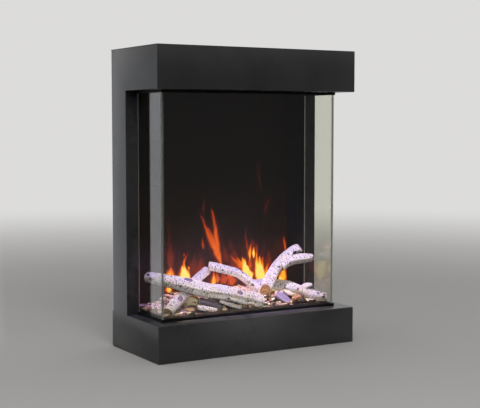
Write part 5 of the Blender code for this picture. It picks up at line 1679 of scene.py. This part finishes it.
@dataclass
class MediaBed:
    """The heap under the logs, and the loose bark chips that cover it."""

    front: float = -0.0712
    rear: float = 0.0892
    half: float = 0.2192
    narrowing: float = 0.012
    narrow_from: float = 0.041
    underside: float = 0.0658
    level: float = 0.0943
    heap: float = 0.0225
    front_slope: Pair = (-0.062, 0.030)
    left_slope: Pair = (-0.178, 0.060)
    right_slope: Pair = (0.206, 0.070)
    ripple: float = 0.011
    ripple_depth: float = 0.0014
    grit_cell: float = 0.006
    grit_depth: float = 0.0012
    cell: float = 0.0025
    heap_tone: float = 0.06
    heap_mottle: float = 0.12
    mottle_cell: float = 0.009
    chip_pitch: float = 0.0084
    row_share: float = 0.82
    front_inset: float = 0.004
    rear_inset: float = 0.003
    flake_share: float = 0.7
    flake_gap: float = 0.002
    chip_sides: int = 8
    chip_lengths: Pair = (0.0050, 0.0135)
    chip_widths: Pair = (0.32, 0.62)
    chip_depths: Pair = (0.0009, 0.0026)
    chip_tones: Pair = (1.5, 1.0)
    tone_spread: float = 0.10
    outline_reach: Pair = (0.72, 1.12)
    top_share: float = 0.84
    top_heights: Pair = (0.6, 1.3)
    low_depths: Pair = (0.4, 1.0)
    crown: float = 1.25
    bow: float = 9.0
    bedding: float = 0.7
    loose: float = 0.0022
    lean_rise: float = 0.75
    twig_share: float = 0.09
    twig_lengths: Pair = (0.012, 0.020)
    twig_width: float = 0.0016
    tilts: Pair = (0.24, 0.20)
    heap_crease: float = 60.0
    chip_crease: float = 30.0
    edge_gap: float = 0.0004
    clearance: float = 0.0015
    view_steps: Triple = (0.0, 0.006, 0.012)
    seed: int = 5
    viewed_from: Pair = (-0.505, -0.863)
    flakes: tuple[Flake, ...] = FLAKES

    def half_width(self, back: np.ndarray) -> np.ndarray:
        """Half the bed's width at a distance back."""
        share = np.clip((back - self.narrow_from) / (self.rear - self.narrow_from), 0, 1)
        return self.half - self.narrowing * share

    def height(self, across: np.ndarray, back: np.ndarray) -> np.ndarray:
        """The bed's level: a heap eased up from the front and both ends, with ripples and fine noise.

        Args:
            across: places across.
            back: places back.

        Returns:
            The height at each.
        """
        heap = ease((back - self.front_slope[0]) / self.front_slope[1])
        heap = heap * ease((across - self.left_slope[0]) / self.left_slope[1])
        heap = heap * ease((self.right_slope[0] - across) / self.right_slope[1])
        wide, deep = across / self.ripple, back / self.ripple
        ripple = np.sin(wide + 2 * np.sin(deep)) * np.cos(1.7 * deep + np.sin(0.6 * wide))
        grit = lattice_noise(joined(across, back, 0.0), self.grit_cell, self.seed)
        return self.level + self.heap * heap + self.ripple_depth * ripple + self.grit_depth * grit

    def build(self, rack: FinishRack, clear: list[tuple[np.ndarray, np.ndarray]]) -> None:
        """Makes the heap and its chips.

        Args:
            rack: the finishes.
            clear: points and radii along each small piece, which the chips keep clear of.
        """
        rack.dress(self.mound().piece("media_bed_heap", self.heap_crease), Slot.CHIPS, "media_bed")
        rack.dress(self.chips(clear).piece("media_bed_chips", self.chip_crease), Slot.CHIPS)

    def mound(self) -> Surface:
        """The heap, with a grid at the bed's level for its top.

        Returns:
            The closed surface, with "tone" and "unrolled".
        """
        columns = int(2 * self.half / self.cell)
        rows = int((self.rear - self.front) / self.cell)
        back, share = np.meshgrid(
            np.linspace(self.front, self.rear, rows), np.linspace(-1, 1, columns), indexing="ij")
        across = share * self.half_width(back)
        grid = joined(across, back, self.height(across, back))
        mottle = self.heap_mottle * lattice_noise(grid, self.mottle_cell, self.seed + 4)
        tone = np.clip(self.heap_tone + mottle, 0, 1)
        return skirted(grid, 2, self.underside, {"tone": tone, "unrolled": grid[..., (1, 2, 0)]})

    def scattered(
        self, draw: np.random.Generator, laid: np.ndarray, clear: list[tuple[np.ndarray, np.ndarray]]
    ) -> tuple[np.ndarray, np.ndarray]:
        """Places for the random chips: a grid, each place moved at random, clear of what stays in view.

        Args:
            draw: the source of numbers.
            laid: place across, place back and half length of each listed flake, then what else it has.
            clear: points and radii along each small piece.

        Returns:
            The places across, and those back.
        """
        pitch = self.chip_pitch
        across, back = np.meshgrid(
            np.arange(-self.half + pitch, self.half, pitch),
            np.arange(self.front + self.front_inset, self.rear - self.rear_inset, pitch * self.row_share),
        )
        across = (across + draw.uniform(-0.5, 0.5, across.shape) * pitch).ravel()
        back = (back + draw.uniform(-0.5, 0.5, back.shape) * pitch).ravel()
        apart = np.hypot(across[:, None] - laid[:, 0], back[:, None] - laid[:, 1])
        kept = (apart > self.flake_share * laid[:, 2] + self.flake_gap).all(axis=1)
        for points, radii in clear:
            for step in self.view_steps:
                right = across[:, None] - points[:, 0] - step * self.viewed_from[0]
                behind = back[:, None] - points[:, 1] - step * self.viewed_from[1]
                kept &= ~(np.hypot(right, behind) < radii + self.clearance).any(axis=1)
        return across[kept], back[kept]

    def chips(self, clear: list[tuple[np.ndarray, np.ndarray]]) -> Surface:
        """The loose chips.

        A chip is an eight-sided flake: a top and a bottom ring, the top drawn in and raised, with a
        point in the middle of each. Its outline's reach changes at random, and it is turned and tilted
        as it lies on the heap. The larger listed flakes follow the scattered ones.

        Args:
            clear: points and radii along each small piece, which the chips keep clear of.

        Returns:
            All the chips in one surface.
        """
        draw = np.random.default_rng(self.seed)
        laid = np.array([
            (item.across, item.back, item.long, item.wide, item.thick, item.tone) for item in self.flakes
        ])
        across, back = self.scattered(draw, laid, clear)
        count = len(across)
        long = draw.uniform(*self.chip_lengths, count)
        wide = long * draw.uniform(*self.chip_widths, count)
        thick = draw.uniform(*self.chip_depths, count)
        twig = draw.random(count) < self.twig_share
        long = np.where(twig, draw.uniform(*self.twig_lengths, count), long)
        wide = np.where(twig, self.twig_width, wide)
        tone = draw.beta(*self.chip_tones, count) + self.tone_spread * draw.standard_normal(count)
        tone = np.clip(tone, 0, 1)
        turns = np.concatenate((self.turns(draw, count), self.laid_turns()))
        raised = [item.wide * math.sin(math.radians(item.lean)) for item in self.flakes]
        raised = np.concatenate((np.zeros(count), raised))
        both = np.hstack((np.stack((across, back, long, wide, thick, tone)), laid.T))
        across, back, long, wide, thick, tone = both
        count, sides = both.shape[1], self.chip_sides
        angle = np.arange(sides) * 2 * math.pi / sides
        reach = draw.uniform(*self.outline_reach, (count, sides))
        outline = joined(reach * np.cos(angle) * long[:, None], reach * np.sin(angle) * wide[:, None])
        depth = thick[:, None, None]
        raised_by = depth * draw.uniform(*self.top_heights, (count, sides, 1))
        top = np.concatenate((outline * self.top_share, raised_by), axis=-1)
        sunk_by = -depth * draw.uniform(*self.low_depths, (count, sides, 1))
        low = np.concatenate((outline, sunk_by), axis=-1)
        middle = np.zeros((count, 2, 3))
        middle[:, 0, 2], middle[:, 1, 2] = thick * self.crown, -thick
        local = np.concatenate((top, low, middle), axis=1)
        bowed = local.copy()
        bowed[..., 2] += draw.uniform(-self.bow, self.bow, (count, 1)) * local[..., 0] ** 2
        lift = self.height(across, back) + thick * self.bedding
        lift = lift + draw.uniform(0, self.loose, count) + raised * self.lean_rise
        place = np.einsum("cij,cpj->cpi", turns, bowed) + joined(across, back, lift)[:, None]
        limit = self.half_width(place[..., 1]) - self.edge_gap
        place[..., 0] = np.clip(place[..., 0], -limit, limit)
        place[..., 1] = np.clip(place[..., 1], self.front + self.edge_gap, self.rear - self.edge_gap)
        own = local[..., (1, 2, 0)] + draw.uniform(0, 3, (count, 1, 3))
        values = {"tone": np.repeat(tone, local.shape[1]), "unrolled": own.reshape(-1, 3)}
        return Surface(place.reshape(-1, 3), self.chip_faces(count), values)

    def turns(self, draw: np.random.Generator, count: int) -> np.ndarray:
        """Random turns: a full circle about the upright, after small tilts about the two level axes.

        Args:
            draw: the source of numbers.
            count: how many.

        Returns:
            One three by three matrix each.
        """
        spin = turned_about(2, draw.uniform(0, 2 * math.pi, count))
        lean = turned_about(1, draw.normal(0, self.tilts[0], count))
        roll = turned_about(0, draw.normal(0, self.tilts[1], count))
        return np.einsum("ijc,jkc,klc->cil", spin, lean, roll)

    def laid_turns(self) -> np.ndarray:
        """The turns of the listed flakes.

        A flake's plane holds the level line to the viewer's right, and a line that runs away from the
        viewer and rises by the lean. Its length is turned in that plane.

        Returns:
            One three by three matrix each.
        """
        turn = np.radians([item.turn for item in self.flakes])[:, None]
        lean = np.radians([item.lean for item in self.flakes])[:, None]
        away = np.array((-self.viewed_from[0], -self.viewed_from[1], 0.0))
        right = np.array((away[1], -away[0], 0.0))
        rising = away * np.cos(lean) + np.array((0.0, 0.0, 1.0)) * np.sin(lean)
        length = right * np.cos(turn) + rising * np.sin(turn)
        width = rising * np.cos(turn) - right * np.sin(turn)
        return np.stack((length, width, np.cross(length, width)), axis=-1)

    def chip_faces(self, count: int) -> list[np.ndarray]:
        """Faces of the chips: for each, a band of quads, and a fan above and below to its last two points.

        Args:
            count: how many chips.

        Returns:
            The quads, then the triangles.
        """
        sides = self.chip_sides
        ring = np.arange(sides)
        turn = (ring + 1) % sides
        band = cells(sides + ring, sides + turn, turn, ring)
        above = cells(ring, turn, 2 * sides)
        below = cells(sides + turn, sides + ring, 2 * sides + 1)
        shift = (np.arange(count) * (2 * sides + 2))[:, None, None]
        return [(band + shift).reshape(-1, 4), (np.vstack((above, below)) + shift).reshape(-1, 3)]


# Studio


@dataclass(frozen=True)
class PaleFloor(Finish):
    """A pale floor with a faint mottle, which ends in the room's light and is clear when seen from below."""

    dark: Colour = (0.35, 0.347, 0.343, 1)
    light: Colour = (0.39, 0.387, 0.383, 1)
    room: Colour = (0.72, 0.715, 0.71, 1)
    window: Colour = (0.81, 0.835, 0.89, 1)
    dim: Colour = (0.10, 0.10, 0.105, 1)
    dusk: Pair = (-0.80, 0.10)
    to_right: Triple = (0.735, -0.678, 0.0)
    to_left: Triple = (-0.951, 0.309, 0.0)

    def feeds(self, tree: Tree) -> Feeds:
        """The mottle near by, and the room's light farther off.

        Args:
            tree: the shader tree.

        Returns:
            What goes into each of the shader's inputs.
        """
        place = tree.place()
        near = tree.mix(tree.noise(place, 1.4, 4.0), self.dark, self.light)
        away = tree.span(tree.axis(tree.vector("NORMALIZE", place), "Y"), *self.dusk)
        far = tree.span(tree.vector("LENGTH", place), 0.85, tree.times_plus(away, 2.8, 1.7))
        far = tree.most(far, tree.span(tree.vector("DOT_PRODUCT", place, self.to_right), 0.56, 0.80))
        left = tree.span(tree.vector("DOT_PRODUCT", place, self.to_left), 0.52, 0.70)
        left = tree.times(left, tree.span(tree.axis(place, "Y"), 0.05, 0.45))
        glow = tree.mix(far, BLACK, tree.mix(away, self.dim, self.room))
        below = tree.add("ShaderNodeNewGeometry").outputs["Backfacing"]
        return {
            "Base Color": tree.mix(far, near, BLACK),
            "Emission Color": tree.mix(tree.times(left, 0.7), glow, self.window),
            "Emission Strength": 1.0,
            "Alpha": tree.math("SUBTRACT", 1.0, below),
            "Roughness": 0.85,
            "Specular IOR Level": 0.0,
        }


@dataclass(frozen=True)
class Lamp:
    """An area lamp: place, the point that it faces, width and height, watts, linear colour and spread."""

    name: str
    at: Triple
    aim: Triple
    size: Pair
    watts: float
    colour: Triple
    spread: float = 180.0

    def build(self) -> None:
        """Hangs the lamp, which isn't seen itself."""
        data = bpy.data.lights.new(self.name, "AREA")
        data.shape, data.size, data.size_y = "RECTANGLE", *self.size
        data.energy, data.color, data.spread = self.watts, self.colour, math.radians(self.spread)
        lamp = in_scene(self.name, data)
        right, back, up = np.array(self.aim) - np.array(self.at)
        lamp.location = self.at
        lamp.rotation_euler = (math.atan2(math.hypot(right, back), -up), 0, math.atan2(-right, back))
        lamp.visible_camera = lamp.visible_glossy = lamp.visible_transmission = False


@dataclass
class Studio:
    """Pale floor, soft light, the lamps inside the fireplace, and the camera."""

    lens: float = 82.8
    sensor: float = 36.0
    camera_at: Triple = (-1.3065, -2.2587, 0.5241)
    pitch: float = -4.16
    turn: float = -30.37
    floor_reach: float = 30.0
    floor_drop: float = 0.0004
    floor: PaleFloor = PaleFloor()
    lamps: tuple[Lamp, ...] = (
        Lamp("key_light", (-1.3, -3.1, 2.9), (0, 0, 0.45), (2.4, 2.0), 98.0, (1.0, 0.985, 0.96)),
        Lamp("log_light", (0.02, -0.021, 0.5962), (0.02, 0.015, 0.1), (0.33, 0.012), 4.4,
             (0.37, 0.24, 1.0), 28),
        Lamp("log_fill", (0.05, -0.040, 0.590), (0.05, 0.026, 0.1), (0.34, 0.03), 0.85,
             (1.0, 0.93, 0.78), 27),
        Lamp("bed_fill", (0.01, -0.050, 0.590), (0.01, -0.048, 0.1), (0.40, 0.01), 1.75,
             (1.0, 0.90, 0.76), 12),
        Lamp("front_fill", (-0.45, -2.10, 0.72), (-0.01, -0.05, 0.165), (0.10, 0.05), 0.36,
             (1.0, 0.95, 0.88), 10),
        Lamp("ember_light", (0.03, 0.096, 0.150), (0.03, 0.0, 0.12), (0.34, 0.05), 0.35, (1.0, 0.42, 0.10)),
    )

    def build(self) -> None:
        """Sets up everything that isn't part of the fireplace."""
        self.lay_floor()
        self.surroundings()
        for lamp in self.lamps:
            lamp.build()
        self.camera()
        bpy.context.scene.view_settings.view_transform = "Standard"

    def lay_floor(self) -> None:
        """A square floor just under the fireplace."""
        reach = self.floor_reach
        points = np.array(((-reach, -reach, 0), (reach, -reach, 0), (reach, reach, 0), (-reach, reach, 0)))
        piece = Surface(points - (0, 0, self.floor_drop), [np.array(((0, 1, 2, 3),))]).piece("pale_floor")
        piece.data.materials.append(self.floor.make("pale_floor"))

    def surroundings(self) -> None:
        """A pale room, brightest behind and to the sides.

        It is dimmer in front, so that dark gloss reads as it should.
        """
        world = bpy.data.worlds.new("pale_room")
        bpy.context.scene.world = world
        world.use_nodes = True
        tree = Tree(world.node_tree.nodes, world.node_tree.links)
        way = tree.add("ShaderNodeTexCoord").outputs["Generated"]
        across, back, up = (tree.axis(way, name) for name in "XYZ")
        front = tree.most(tree.span(back, *self.floor.dusk), tree.span(up, 0.10, 0.40, 0.0, 0.55))
        left = tree.times(tree.span(across, -0.15, -0.45), tree.span(up, 0.06, 0.30, 1.0, 0.0))
        room = tree.mix(left, self.floor.room, self.floor.window)
        tree.fill(tree.nodes["Background"], {
            "Color": tree.mix(front, self.floor.dim, room), "Strength": 1.0,
        })

    def camera(self) -> None:
        """The camera, at the photograph's angle."""
        data = bpy.data.cameras.new("camera")
        data.lens, data.sensor_width = self.lens, self.sensor
        camera = in_scene("camera", data)
        camera.location = self.camera_at
        camera.rotation_euler = (math.radians(90 + self.pitch), 0, math.radians(self.turn))
        bpy.context.scene.camera = camera


def main() -> None:
    """Builds the fireplace's looks in order."""
    logging.basicConfig(level=logging.INFO, format="%(message)s")
    rack = FinishRack()
    casing = Casing()
    casing.dress(rack)
    casing.build(rack)
    Glazing().build(rack)
    FlamePanel().build(rack)
    pile = LogPile()
    pile.build(rack)
    MediaBed().build(rack, pile.small_pieces())
    Studio().build()


if __name__ == "__main__":
    main()
